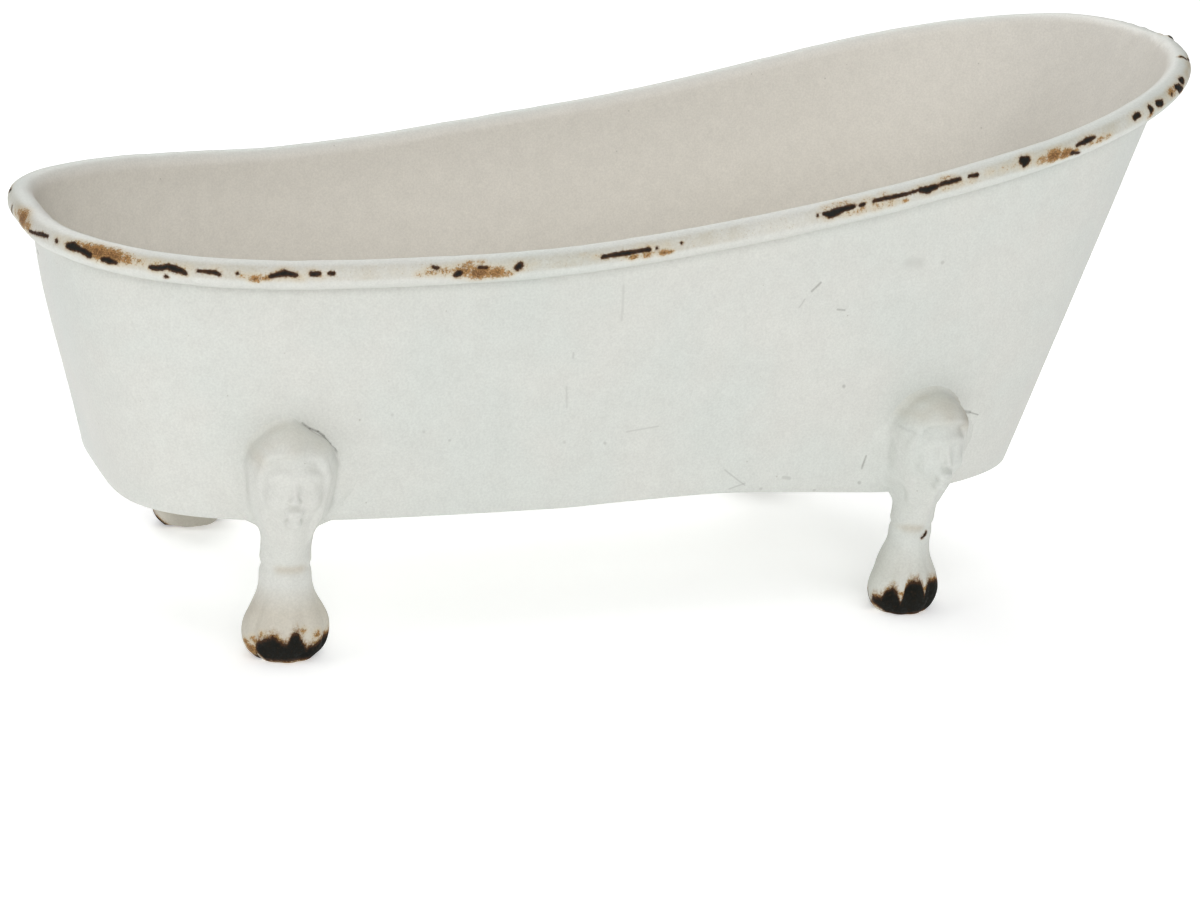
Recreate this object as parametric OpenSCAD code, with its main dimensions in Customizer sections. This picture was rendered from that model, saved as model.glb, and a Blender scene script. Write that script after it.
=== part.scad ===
// Small decorative claw-foot bathtub in painted sheet metal.
//
// One flared band of thin sheet makes the wall. Its upper edge is rolled
// outward around a wire, so the rim is a round bead that climbs from the low
// foot end (-X) to the high head end (+X). A pressed pan with an upturned
// flange closes the bottom. Four cast claw feet carry the tub: each has a knee
// that lies against the wall, a ledge under the floor, a ringed ankle and a paw
// with toes, and each is held by one screw and washer from inside.
//
// Millimetres, +Z up. The origin is on the ground, in the middle of the
// object's box. -Y is the front.

/* [Rim] */
// Length of the rim between the middles of the bead at its two ends
rim_l = 234; // [215:1:250]
// Width of the rim half way along, between the middles of the bead
rim_w = 98.4; // [94:0.1:106]
// How much wider the rim gets toward the head end, as a share of its width
rim_flare = 0.099; // [0.05:0.001:0.11]
// Squareness of the rim's outline at the foot end, where 2 is an ellipse
rim_n_foot = 3.24; // [2.4:0.01:3.8]
// Squareness of the rim's outline at the head end
rim_n_head = 2.68; // [2.4:0.01:3.8]
// Height of the rim above the ground at the foot end
rim_z_foot = 76.1; // [70:0.1:84]
// Height of the rim above the ground at the head end
rim_z_head = 107.9; // [102:0.1:114]
// Outside diameter of the rolled bead
bead_d = 5.2; // [4.8:0.1:6]

/* [Floor] */
// Length of the floor
floor_l = 187; // [176:1:194]
// Width of the floor half way along
floor_w = 80.3; // [76:0.1:84]
// Distance of the floor's middle from the middle of the rim, toward the head end
floor_x = -10.8; // [-13:0.1:-6]
// How much wider the floor gets toward the head end, as a share of its width
floor_flare = 0.034; // [0:0.002:0.06]
// Squareness of the floor's outline at the foot end
floor_n_foot = 4; // [3:0.1:4.6]
// Squareness of the floor's outline at the head end
floor_n_head = 4.7; // [3:0.1:4.8]
// Height of the floor's underside above the ground
floor_z = 26.5; // [26:0.1:28]
// Height of the floor pan's upturned flange
flange_h = 4.6; // [3:0.1:6]

/* [Sheet and wire] */
// Thickness of the sheet metal
sheet_t = 0.8; // [0.6:0.05:1]
// Diameter of the wire inside the bead
wire_d = 3.25; // [2.6:0.05:3.3]
// How far the wall bellies outward below the rim at the foot end
wall_bow_foot = 1.25; // [0:0.05:1.3]
// How far the wall bellies outward below the rim at the head end
wall_bow_head = 0; // [0:0.05:1.3]

/* [Feet] */
// Distance of the foot-end feet from the middle of the tub
foot_x_low = 76.2; // [70:0.1:80]
// Distance of the head-end feet from the middle of the tub
foot_x_high = 52.3; // [46:0.1:56]
// How far the middle of each paw stands outside the floor's edge
foot_out = -0.8; // [-1.5:0.1:1]
// Width of the paw
paw_w = 16.5; // [15:0.1:17.5]
// Distance from the paw's middle to the two slanting faces of its heel
heel_y = 5.6; // [5.5:0.1:8]
// Width of the leg above the ankle
leg_w = 9.5; // [8.6:0.1:10]
// Height of the top of the knee above the ground
knee_top = 46.8; // [45.5:0.1:48]
// Width across the shoulders of the knee
shoulder_w = 26.8; // [25:0.1:28]

/* [Fasteners] */
// Screw thread diameter
screw_d = 3; // [2.5:0.5:3]
// Height of the screws above the ground
screw_z = 37; // [36:0.1:39]
// Washer outside diameter
washer_d = 7; // [6.5:0.1:8]

/* [Hidden] */

paint = [0.90, 0.90, 0.87];
bare_steel = [0.42, 0.40, 0.38];

seg = 112;                    // steps around the tub
curl_steps = 13;              // steps around the rolled bead
wall_levels = [0, 0.36, 0.7]; // height fractions of the wall's own points
curl_gap = 52;                // angle the roll stops short of the wall
sweep = [-0.38, 1.02, 1.26];  // shape of the rim's climb; the rest is u^4
bead_r = bead_d / 2;
hollow_r = bead_r - sheet_t;  // inside radius of the roll
play = 0.05;                  // gap between parts that lie against each other
screw_hole_r = screw_d / 2 + 0.05;
wall_hole_r = screw_d / 2 + 0.15;

// ---- outlines -----------------------------------------------------------

function sgn(v) = v < 0 ? -1 : 1;
function ease(c) = let(w = (c + 1) / 2) w * w * (3 - 2 * w);

// Angle for step i, spread so that the long sides and corners get most steps
function step_angle(i) =
    let(p = 360 * i / seg, q = atan2(1.6 * sin(p), cos(p)),
        c = cos(q), s = sin(q))
    atan2(sgn(s) * pow(abs(s), 1.6), sgn(c) * pow(abs(c), 1.6));

// Point of a unit squared oval whose squareness changes from end to end
function oval(a, n_foot, n_head) =
    let(c = cos(a), s = sin(a), n = n_foot + (n_head - n_foot) * ease(c))
    [sgn(c) * pow(abs(c), 2 / n), sgn(s) * pow(abs(s), 2 / n)];

// Height of the rim at x, from -1 at the foot end to 1 at the head end
function rim_height(x) =
    let(u = (x + 1) / 2)
    rim_z_foot + (rim_z_head - rim_z_foot) *
    (sweep[0] * u + sweep[1] * u * u + sweep[2] * pow(u, 3) +
     (1 - sweep[0] - sweep[1] - sweep[2]) * pow(u, 4));

// Middle of the bead, and outer edge of the floor, at angle a
function rim_point(a) =
    let(p = oval(a, rim_n_foot, rim_n_head))
    [rim_l / 2 * p[0], rim_w / 2 * p[1] * (1 + rim_flare * p[0]), rim_height(p[0])];
function floor_point(a) =
    let(p = oval(a, floor_n_foot, floor_n_head))
    [floor_x + floor_l / 2 * p[0], floor_w / 2 * p[1] * (1 + floor_flare * p[0]), floor_z];

function unit(v) = v / norm(v);
// Outward direction in plan between two neighbouring points of an outline
function outward(p, q) = let(d = q - p) unit([d[1], -d[0], 0]);
function rim_out(i) = outward(rim_point(step_angle(i - 0.2)), rim_point(step_angle(i + 0.2)));
function floor_out(i) = outward(floor_point(step_angle(i - 0.2)), floor_point(step_angle(i + 0.2)));

// Lean of the wall at step i: its outer face runs from the floor's edge to
// touch the inside of the roll
function lean(i) =
    let(a = step_angle(i), r = rim_point(a), f = floor_point(a), n = rim_out(i),
        o = (r - f) * n, h = r[2] - f[2])
    atan2(o, h) - asin(hollow_r / norm([o, h]));

// Point on the roll at step i, radius rad and angle b in the upright plane
function roll_point(i, rad, b) =
    rim_point(step_angle(i)) + rad * (cos(b) * rim_out(i) + [0, 0, sin(b)]);

// Outer face of the wall at step i and height fraction v; inset moves it inward
function wall_point(i, v, inset = 0) =
    let(l = lean(i), a = step_angle(i), f = floor_point(a),
        top = roll_point(i, hollow_r, 180 - l),
        n = unit((1 - v) * floor_out(i) + v * rim_out(i)),
        bow = wall_bow_foot + (wall_bow_head - wall_bow_foot) * ease(cos(a)))
    f + v * (top - f) + n * (bow * 6.75 * v * v * (1 - v) - inset / cos(l));

// ---- helpers ------------------------------------------------------------

// Closed ring skin: rings is a list of equal closed profiles
module ring_skin(rings) {
    m = len(rings);
    k = len(rings[0]);
    polyhedron(
        points = [for (r = rings) each r],
        faces = [for (i = [0:m - 1], j = [0:k - 1])
            let(a = i * k + j, b = i * k + (j + 1) % k,
                c = ((i + 1) % m) * k + (j + 1) % k, d = ((i + 1) % m) * k + j)
            each [[a, b, c], [a, c, d]]],
        convexity = 8);
}

// Closed vertical stack: rings is a list of equal outlines from bottom to top
module stack_skin(rings) {
    m = len(rings);
    k = len(rings[0]);
    polyhedron(
        points = [for (r = rings) each r],
        faces = concat(
            [[for (j = [0:k - 1]) j]],
            [for (i = [0:m - 2], j = [0:k - 1])
                let(a = i * k + j, b = i * k + (j + 1) % k,
                    c = (i + 1) * k + (j + 1) % k, d = (i + 1) * k + j)
                each [[a, d, c], [a, c, b]]],
            [[for (j = [k - 1:-1:0]) (m - 1) * k + j]]),
        convexity = 8);
}

// ---- sheet metal --------------------------------------------------------

function wall_profile(i) =
    let(l = lean(i), b0 = 180 - l, b1 = b0 + curl_gap - 360)
    concat(
        [for (v = wall_levels) wall_point(i, v, sheet_t)],
        [for (s = [0:curl_steps]) roll_point(i, bead_r, b0 + (b1 - b0) * s / curl_steps)],
        [for (s = [curl_steps:-1:0]) roll_point(i, hollow_r, b0 + (b1 - b0) * s / curl_steps)],
        [for (k = [len(wall_levels) - 1:-1:0]) wall_point(i, wall_levels[k], 0)]);

module wall_and_rolled_rim() {
    color(paint)
    difference() {
        ring_skin([for (i = [0:seg - 1]) wall_profile(i)]);
        for_each_foot() at_screw($foot_step) cylinder(h = 8, r = wall_hole_r, center = true, $fn = 32);
    }
}

module rim_wire() {
    color(bare_steel)
    ring_skin([for (i = [0:seg - 1])
        [for (s = [0:9]) roll_point(i, wire_d / 2, -36 * s)]]);
}

module floor_pan() {
    function pan_point(i, z, inset) =
        let(f = floor_point(step_angle(i)), l = lean(i))
        [f[0], f[1], 0] + [0, 0, z] +
        floor_out(i) * ((z - floor_z) * tan(l) - (sheet_t + inset) / cos(l) - play);
    color(paint)
    stack_skin([
        [for (i = [0:seg - 1]) pan_point(i, floor_z, 0)],
        [for (i = [0:seg - 1]) pan_point(i, floor_z + flange_h, 0)],
        [for (i = [0:seg - 1]) pan_point(i, floor_z + flange_h, sheet_t)],
        [for (i = [0:seg - 1]) pan_point(i, floor_z + sheet_t, sheet_t)]]);
}

// Solid that fills the tub out to the wall's outer face, for trimming the feet
module tub_filled() {
    stack_skin([for (v = concat(wall_levels, 0.92)) [for (i = [0:seg - 1]) wall_point(i, v, -play)
        - (v == 0 ? [0, 0, play] : [0, 0, 0])]]);
}

// ---- feet ---------------------------------------------------------------

// Step at which the front edge of the floor passes x
function step_at(x, lo = 0.5 * seg, hi = seg, k = 18) =
    k == 0 ? (lo + hi) / 2 :
    let(mid = (lo + hi) / 2)
    floor_point(step_angle(mid))[0] < x ? step_at(x, mid, hi, k - 1) : step_at(x, lo, mid, k - 1);
low_step = step_at(-foot_x_low);
high_step = step_at(foot_x_high);

// Runs its children once for each foot, front and back
module for_each_foot() {
    for (s = [low_step, high_step], side = [0, 1])
        mirror([0, side, 0]) let($foot_step = s) children();
}

// Moves to the paw's middle on the ground, with +Y pointing out of the tub
module at_foot(i) {
    n = floor_out(i);
    p = floor_point(step_angle(i)) + foot_out * n;
    translate([p[0], p[1], 0]) rotate([0, 0, atan2(n[1], n[0]) - 90]) children();
}

// Moves to the screw's place on the wall's outer face, with +Z pointing into the tub
module at_screw(i) {
    v = (screw_z - floor_z) / (roll_point(i, hollow_r, 180 - lean(i))[2] - floor_z);
    along = wall_point(i + 0.5, v) - wall_point(i - 0.5, v);
    up = wall_point(i, v + 0.05) - wall_point(i, v - 0.05);
    n = unit(cross(up, along));
    translate(wall_point(i, v)) rotate([0, acos(n[2]), atan2(n[1], n[0])]) children();
}

// Turned part of the foot: paw, ankle ring and leg
module turned_leg() {
    rotate_extrude($fn = 48)
        polygon([[0, 0], [5.4, 0], [6.6, 0.8], [7.7, 2.5], [paw_w / 2 - 0.1, 4.4],
                 [paw_w / 2, 5.8], [paw_w / 2 - 0.3, 7.7], [6.8, 10.2], [5.5, 12.4],
                 [5, 14], [leg_w / 2, 16], [leg_w / 2, 17.8], [leg_w / 2 + 0.2, 18.6],
                 [leg_w / 2 + 0.2, 19.4], [leg_w / 2, 20.2],
                 [leg_w / 2, floor_z + 4], [0, floor_z + 4]]);
}

// One cast claw foot, standing on the ground with its paw's middle at the origin
module foot_blank(back_lean) {
    difference() {
        turned_leg();
        // the heel, narrowed on the side toward the tub's middle
        for (s = [-1, 1]) rotate([0, 0, s * 38])
            translate([-paw_w, -paw_w - heel_y, -1]) cube([paw_w * 2, paw_w, 13]);
    }
    // toes, splayed across the front of the paw
    for (a = [-51, -17, 17, 51])
        rotate([0, 0, a]) translate([0, 5.9, 2.4]) sphere(r = 2.4, $fn = 32);
    // knee with its domed cap
    hull() {
        translate([0, 4.2, knee_top - 8.2]) sphere(r = 8.2, $fn = 32);
        translate([0, 3.4, 32.4]) sphere(r = 7, $fn = 32);
        translate([0, 1.2, floor_z - 1]) sphere(r = 4.8, $fn = 32);
    }
    // shoulders of the knee, lying on the wall
    translate([0, -foot_out, floor_z]) rotate([-back_lean, 0, 0]) {
        for (s = [-1, 1]) translate([s * (shoulder_w / 2 - 5), -3, 9.7])
            rotate([-90, 0, 0]) {
                cylinder(h = 5, r = 5, $fn = 48);
                cylinder(h = 5.8, r = 3.2, $fn = 48);
            }
        translate([5 - shoulder_w / 2, -3, 5.7]) cube([shoulder_w - 10, 5, 8]);
    }
}

module claw_foot(i) {
    difference() {
        at_foot(i) foot_blank(lean(i));
        tub_filled();
        at_screw(i) cylinder(h = 14, r = screw_hole_r, center = true, $fn = 32);
    }
}

module claw_foot_front_low() { color(paint) claw_foot(low_step); }
module claw_foot_front_high() { color(paint) claw_foot(high_step); }
module claw_foot_back_low() { color(paint) mirror([0, 1, 0]) claw_foot(low_step); }
module claw_foot_back_high() { color(paint) mirror([0, 1, 0]) claw_foot(high_step); }

// ---- fasteners ----------------------------------------------------------

module foot_screws() {
    color(bare_steel)
    for_each_foot() at_screw($foot_step) {
        translate([0, 0, -5]) cylinder(h = sheet_t + 6, r = screw_d / 2, $fn = 32);
        translate([0, 0, sheet_t + 0.8]) difference() {
            cylinder(h = 1.9, r = screw_d * 0.93, $fn = 48);
            translate([-0.35, -4, 1.1]) cube([0.7, 8, 2]);
        }
    }
}

module foot_washers() {
    color(bare_steel)
    for_each_foot() at_screw($foot_step)
        translate([0, 0, sheet_t + 0.2]) difference() {
            cylinder(h = 0.55, r = washer_d / 2, $fn = 48);
            translate([0, 0, -1]) cylinder(h = 3, r = screw_d / 2 + 0.1, $fn = 32);
        }
}

wall_and_rolled_rim();
rim_wire();
floor_pan();
claw_foot_front_low();
claw_foot_front_high();
claw_foot_back_low();
claw_foot_back_high();
foot_screws();
foot_washers();
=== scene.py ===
import math

import bpy
import numpy as np
from mathutils import Matrix, Vector


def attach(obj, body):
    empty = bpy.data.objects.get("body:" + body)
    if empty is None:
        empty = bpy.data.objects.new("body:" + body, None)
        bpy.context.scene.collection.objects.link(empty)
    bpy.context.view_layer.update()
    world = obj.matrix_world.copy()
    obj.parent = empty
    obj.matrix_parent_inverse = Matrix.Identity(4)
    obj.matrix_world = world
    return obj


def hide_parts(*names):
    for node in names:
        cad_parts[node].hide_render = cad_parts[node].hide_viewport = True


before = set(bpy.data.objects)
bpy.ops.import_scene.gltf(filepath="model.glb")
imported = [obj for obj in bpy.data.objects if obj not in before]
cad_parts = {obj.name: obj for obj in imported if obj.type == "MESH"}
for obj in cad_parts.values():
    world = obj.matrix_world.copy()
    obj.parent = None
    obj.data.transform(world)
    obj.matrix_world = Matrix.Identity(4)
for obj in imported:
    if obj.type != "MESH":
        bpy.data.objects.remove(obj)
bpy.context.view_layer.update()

MM = 0.001

# ---------------------------------------------------------------------------
# Camera, at the photograph's viewing angle
# ---------------------------------------------------------------------------
YAW, PITCH, ROLL = -0.3958, 0.3219, 0.0702
FOCAL_PX, DIST = 2954.6, 0.6084
AIM = np.array([0.00054, 0.0, 0.02299])

fwd = -np.array([math.sin(YAW) * math.cos(PITCH), -math.cos(YAW) * math.cos(PITCH), math.sin(PITCH)])
flat_right = np.array([math.cos(YAW), math.sin(YAW), 0.0])
flat_up = np.cross(flat_right, fwd)
cam_x = flat_right * math.cos(ROLL) + flat_up * math.sin(ROLL)
cam_y = -flat_right * math.sin(ROLL) + flat_up * math.cos(ROLL)
cam_at = AIM - fwd * DIST
cam_data = bpy.data.cameras.new("camera")
cam_data.sensor_width = 36.0
cam_data.lens = 36.0 * FOCAL_PX / 1200.0
cam_data.clip_start = 0.01
cam_data.clip_end = 50.0
camera = bpy.data.objects.new("camera", cam_data)
bpy.context.scene.collection.objects.link(camera)
camera.matrix_world = Matrix((
    (cam_x[0], cam_y[0], -fwd[0], cam_at[0]),
    (cam_x[1], cam_y[1], -fwd[1], cam_at[1]),
    (cam_x[2], cam_y[2], -fwd[2], cam_at[2]),
    (0, 0, 0, 1)))
bpy.context.scene.camera = camera

# ---------------------------------------------------------------------------
# The tub's form, in millimetres
# ---------------------------------------------------------------------------
RIM_L, RIM_W, RIM_FLARE = 234.0, 98.4, 0.099
RIM_N = (3.24, 2.68)
RIM_Z = (76.1, 107.9)
SWEEP = (-0.38, 1.02, 1.26)
BEAD_R, SHEET = 2.6, 0.8
HOLLOW_R = BEAD_R - SHEET
FLOOR_L, FLOOR_W, FLOOR_X, FLOOR_FLARE = 187.0, 80.3, -10.8, 0.034
FLOOR_N = (4.0, 4.7)
FLOOR_Z = 26.5
FLANGE_H = 4.6
BOW = (1.25, 0.0)
CURL_GAP = math.radians(52)
FOOT_X = {"low": -76.2, "high": 52.3}
FOOT_OUT = -0.8
SCREW_Z = 37.0


def sgn(v):
    return np.where(v < 0, -1.0, 1.0)


def ease(c):
    w = (c + 1) / 2
    return w * w * (3 - 2 * w)


def oval(a, n):
    c, s = np.cos(a), np.sin(a)
    m = n[0] + (n[1] - n[0]) * ease(c)
    return sgn(c) * np.abs(c) ** (2 / m), sgn(s) * np.abs(s) ** (2 / m)


def rim_height(x):
    u = (x + 1) / 2
    return RIM_Z[0] + (RIM_Z[1] - RIM_Z[0]) * (
        SWEEP[0] * u + SWEEP[1] * u ** 2 + SWEEP[2] * u ** 3 + (1 - sum(SWEEP)) * u ** 4)


def rim_point(a):
    x, y = oval(a, RIM_N)
    return np.stack([RIM_L / 2 * x, RIM_W / 2 * y * (1 + RIM_FLARE * x), rim_height(x)], -1)


def floor_point(a):
    x, y = oval(a, FLOOR_N)
    return np.stack([FLOOR_X + FLOOR_L / 2 * x, FLOOR_W / 2 * y * (1 + FLOOR_FLARE * x),
                     np.full_like(x, FLOOR_Z)], -1)


def unit(v):
    return v / np.linalg.norm(v, axis=-1, keepdims=True)


def outward(point, a, e=2e-3):
    d = point(a + e) - point(a - e)
    return unit(np.stack([d[..., 1], -d[..., 0], np.zeros_like(d[..., 0])], -1))


UP = np.array([0.0, 0.0, 1.0])

# Arc length along the middle of the bead, from the foot end along the front
_fa = np.linspace(math.pi, 3 * math.pi, 24001)
_fp = rim_point(_fa)
_fs = np.concatenate([[0], np.cumsum(np.linalg.norm(np.diff(_fp, axis=0), axis=1))])
RIM_ROUND = _fs[-1]


def angle_at(s):
    return np.interp(np.mod(s, RIM_ROUND), _fs, _fa)


def length_at(a):
    return np.interp(np.mod(a - math.pi, 2 * math.pi) + math.pi, _fa, _fs)


# Hand-made unevenness: how far the rim rises above its even line, at distances
# along it, and how far the wall's lower edge does, at places along the tub (mm)
RIM_LIFT = [
    (0, 0.30), (14, 0.32), (22, 0.40), (30, 0.12), (38, -0.17), (50, -0.33), (62, -0.22), (74, 0.05), (86, 0.17),
    (94, 0.09), (106, -0.14), (118, -0.17), (134, 0.0), (150, 0.17), (166, 0.24), (182, 0.22), (198, 0.07),
    (206, -0.18), (214, -0.41), (226, -0.56), (238, -0.44), (248, -0.28), (256, -0.05), (264, 0.15), (278, 0.33),
    (290, 0.33), (302, -0.05), (326, -0.10), (342, 0.18), (356, 0.35), (370, 0.16), (386, -0.05), (406, -0.20),
    (422, 0.0), (438, 0.42), (450, 0.46), (462, 0.27), (474, -0.15), (494, -0.42), (504, -0.20), (514, 0.25),
    (526, 0.58), (536, 0.65), (546, 0.40), (556, 0.15), (566, 0.20), (574, 0.30)]
EDGE_LIFT = [
    (-110, 0.0), (-40, 0.0), (-24, -0.05), (-19, 0.1), (-14, 0.4), (-7, 0.62), (-1, 0.82), (5, 1.02), (12, 1.03),
    (18, 0.68), (25, 0.25), (31, -0.18), (38, -0.68), (45, -1.25), (52, -1.45), (58, -1.35), (64, -1.0), (70, -0.5),
    (76, -0.05), (90, 0.0)]


def soft_line(knots, x, width, period=None):
    """The knots' broken line with its corners rounded off over the given width."""
    kx, ky = np.array(knots, float).T
    out = 0
    for o, w in ((-1, 1), (-0.5, 3), (0, 4), (0.5, 3), (1, 1)):
        out = out + w / 12 * np.interp(x + o * width, kx, ky, period=period)
    return out


def edge_lift(x):
    return soft_line(EDGE_LIFT, x, 4.0)


class Around:
    """Everything that the sections of the wall need at the angles a."""

    def __init__(self, a):
        self.a = a
        self.rim, self.floor = rim_point(a), floor_point(a)
        self.rim[..., 2] += soft_line(RIM_LIFT, length_at(a), 6.0, RIM_ROUND)
        self.floor[..., 2] += edge_lift(self.floor[..., 0])
        self.rim_out, self.floor_out = outward(rim_point, a), outward(floor_point, a)
        o = ((self.rim - self.floor) * self.rim_out).sum(-1)
        h = self.rim[..., 2] - self.floor[..., 2]
        self.lean = np.arctan2(o, h) - np.arcsin(HOLLOW_R / np.hypot(o, h))
        self.bow = BOW[0] + (BOW[1] - BOW[0]) * ease(np.cos(a))

    def roll(self, rad, b):
        """Point on the roll at radius rad and angle b, and the direction out of it."""
        d = np.cos(b)[..., None] * self.rim_out + np.sin(b)[..., None] * UP
        return self.rim + rad * d, d

    def wall(self, v, inset=0.0):
        """Point on the wall at height fraction v, inset from its outer face."""
        top, _ = self.roll(HOLLOW_R, math.pi - self.lean)
        n = self.wall_out(v)
        off = self.bow * 6.75 * v * v * (1 - v) - inset / np.cos(self.lean)
        w = np.asarray(v, float)[..., None]
        return self.floor + w * (top - self.floor) + n * off[..., None]

    def wall_out(self, v):
        w = np.asarray(v, float)[..., None]
        return unit((1 - w) * self.floor_out + w * self.rim_out)


# ---------------------------------------------------------------------------
# Mesh helpers
# ---------------------------------------------------------------------------
def mesh_object(name, verts_mm, faces, smooth=True, attributes=None):
    """verts_mm n x 3, faces a list of equal-size index arrays (each m x 3 or m x 4)."""
    me = bpy.data.meshes.new(name)
    faces = [np.asarray(f, np.int32) for f in faces if len(f)]
    n_poly = sum(len(f) for f in faces)
    n_loop = sum(f.size for f in faces)
    me.vertices.add(len(verts_mm))
    me.vertices.foreach_set("co", (np.asarray(verts_mm, np.float64) * MM).astype(np.float32).ravel())
    me.loops.add(n_loop)
    me.loops.foreach_set("vertex_index", np.concatenate([f.ravel() for f in faces]))
    starts, at = [], 0
    for f in faces:
        starts.append(at + np.arange(len(f), dtype=np.int32) * f.shape[1])
        at += f.size
    me.polygons.add(n_poly)
    me.polygons.foreach_set("loop_start", np.concatenate(starts))
    me.polygons.foreach_set("use_smooth", np.full(n_poly, smooth))
    me.update(calc_edges=True)
    me.validate()
    for key, values in (attributes or {}).items():
        at_ = me.attributes.new(key, "FLOAT", "POINT")
        at_.data.foreach_set("value", np.asarray(values, np.float32))
    ob = bpy.data.objects.new(name, me)
    bpy.context.scene.collection.objects.link(ob)
    return ob


def grid_faces(rows, cols, close_rows=True, close_cols=True, flip=False, start=0):
    i = np.arange(rows if close_rows else rows - 1)
    j = np.arange(cols if close_cols else cols - 1)
    I, J = np.meshgrid(i, j, indexing="ij")
    I2, J2 = (I + 1) % rows, (J + 1) % cols
    q = np.stack([I * cols + J, I2 * cols + J, I2 * cols + J2, I * cols + J2], -1).reshape(-1, 4) + start
    return q[:, ::-1] if flip else q


def lattice_noise(seed, n=64):
    return np.random.RandomState(seed).uniform(-1, 1, (n, n, n)).astype(np.float32)


_LAT = {}


def noise3(p, scale, seed):
    """Smooth value noise of points p (mm) with cells of the given size (mm)."""
    if seed not in _LAT:
        _LAT[seed] = lattice_noise(seed, 32)
    g = _LAT[seed]
    q = np.asarray(p, np.float64) / scale + 1000.0
    i = np.floor(q).astype(np.int64)
    f = q - i
    f = f * f * (3 - 2 * f)
    out = 0
    for dx in (0, 1):
        for dy in (0, 1):
            for dz in (0, 1):
                w = ((f[..., 0] if dx else 1 - f[..., 0]) * (f[..., 1] if dy else 1 - f[..., 1]) *
                     (f[..., 2] if dz else 1 - f[..., 2]))
                out = out + w * g[(i[..., 0] + dx) % 32, (i[..., 1] + dy) % 32, (i[..., 2] + dz) % 32]
    return out


# ---------------------------------------------------------------------------
# Wear along the rim: where the paint has gone, as chains of (mm along the rim,
# degrees round the bead from straight outward, half width in mm)
# ---------------------------------------------------------------------------
FRONT_CHIPS = [
    [(-5.0, 11, 0.24), (-5.1, -6, 0.46), (-5.5, -27, 0.44)], [(-13.2, 35, 0.30), (-15.2, 36, 0.22)],
    [(9.7, -4, 0.18), (13.7, 8, 0.22), (15.6, 16, 0.34), (17.5, 20, 0.23)],
    [(20.2, 17, 0.36)],
    [(23.1, 15, 0.54), (24.1, 20, 0.82), (25.3, 16, 0.57), (26.8, 13, 0.53), (27.7, 5, 0.61)],
    [(30.4, 2, 0.43), (31.3, 2, 0.64), (32.2, 1, 0.43), (32.8, 0, 0.25)],
    [(39.0, 8, 0.42), (39.9, 7, 0.46), (41.0, 13, 0.46), (41.9, 21, 0.46), (43.0, 14, 0.64), (44.2, 9, 0.5),
     (45.0, 0, 0.25)],
    [(41.6, -24, 0.32)],
    [(47.1, 15, 0.18), (48.8, 16, 0.23), (49.9, 15, 0.42), (50.7, 8, 0.28)],
    [(53.9, 16, 0.25)],
    [(59.6, 10, 0.35), (60.8, 17, 0.39), (62.0, 24, 0.57), (62.9, 20, 0.46), (63.9, 16, 0.34)],
    [(66.7, 20, 0.38), (67.9, 21, 0.42)], [(69.8, 21, 0.26), (70.5, 21, 0.28)],
    [(88.3, 32, 0.25), (89.0, 27, 0.3)],
    [(92.5, -5, 0.5), (93.1, 2, 0.61)],
    [(96.7, 22, 0.22), (98.1, 19, 0.2)],
    [(103.8, 11, 0.54), (104.3, 18, 0.61)],
    [(119.9, 16, 0.29), (121.6, 17, 0.31), (122.7, 18, 0.36), (124.6, 17, 0.47), (126.6, 18, 0.24),
     (127.9, 18, 0.29), (128.8, 18, 0.37)],
    [(130.3, 18, 0.2)], [(135.1, 22, 0.17)],
    [(162.2, 25, 0.24)],
    [(163.6, 24, 0.33), (165.0, 17, 0.78), (166.3, 22, 0.78), (167.5, 27, 0.56), (169.6, 28, 0.37)],
    [(171.0, 27, 0.26), (171.7, 27, 0.32)],
    [(173.8, 31, 0.3), (176.9, 29, 0.28), (179.1, 27, 0.32), (181.1, 26, 0.24), (183.0, 30, 0.17)],
    [(183.5, 28, 0.49), (185.2, 20, 0.72), (187.0, 26, 0.38)],
    [(188.0, 30, 0.34), (190.1, 29, 0.43), (191.9, 28, 0.36)],
    [(194.0, 29, 0.23), (195.0, 27, 0.28), (195.8, 26, 0.32)],
    [(206.1, 31, 0.80), (206.6, 27, 0.86), (206.5, 13, 0.62)], [(207.1, 29, 0.74), (206.6, 18, 0.74)],
    [(218.1, -9, 0.33), (220.2, -25, 0.17)],
    [(219.3, 17, 0.27), (220.8, 18, 0.37), (221.9, 20, 0.62), (223.9, 20, 0.21)],
    [(235.5, 24, 0.62), (236.7, 25, 0.60)],
    [(240.4, 31, 0.50), (240.9, 14, 0.62)],
    [(243.2, 26, 0.62), (244.7, 14, 0.68)],
    [(254.4, 40, 0.55), (255.4, 29, 0.80)], [(251.4, 34, 0.42), (252.8, 18, 0.80), (253.8, 0, 0.72), (254.8, -8, 0.40)],
    [(249.0, 19, 0.28)],
    [(264.4, 94, 0.20), (265.0, 76, 0.24), (264.6, 60, 0.20)],
    [(265.6, 46, 0.30), (268.0, 10, 0.42)], [(268.8, 0, 0.40), (267.4, 16, 0.50)],
    [(281.2, 68, 0.42), (279.8, 62, 0.50), (278.4, 58, 0.36)],
]
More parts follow.
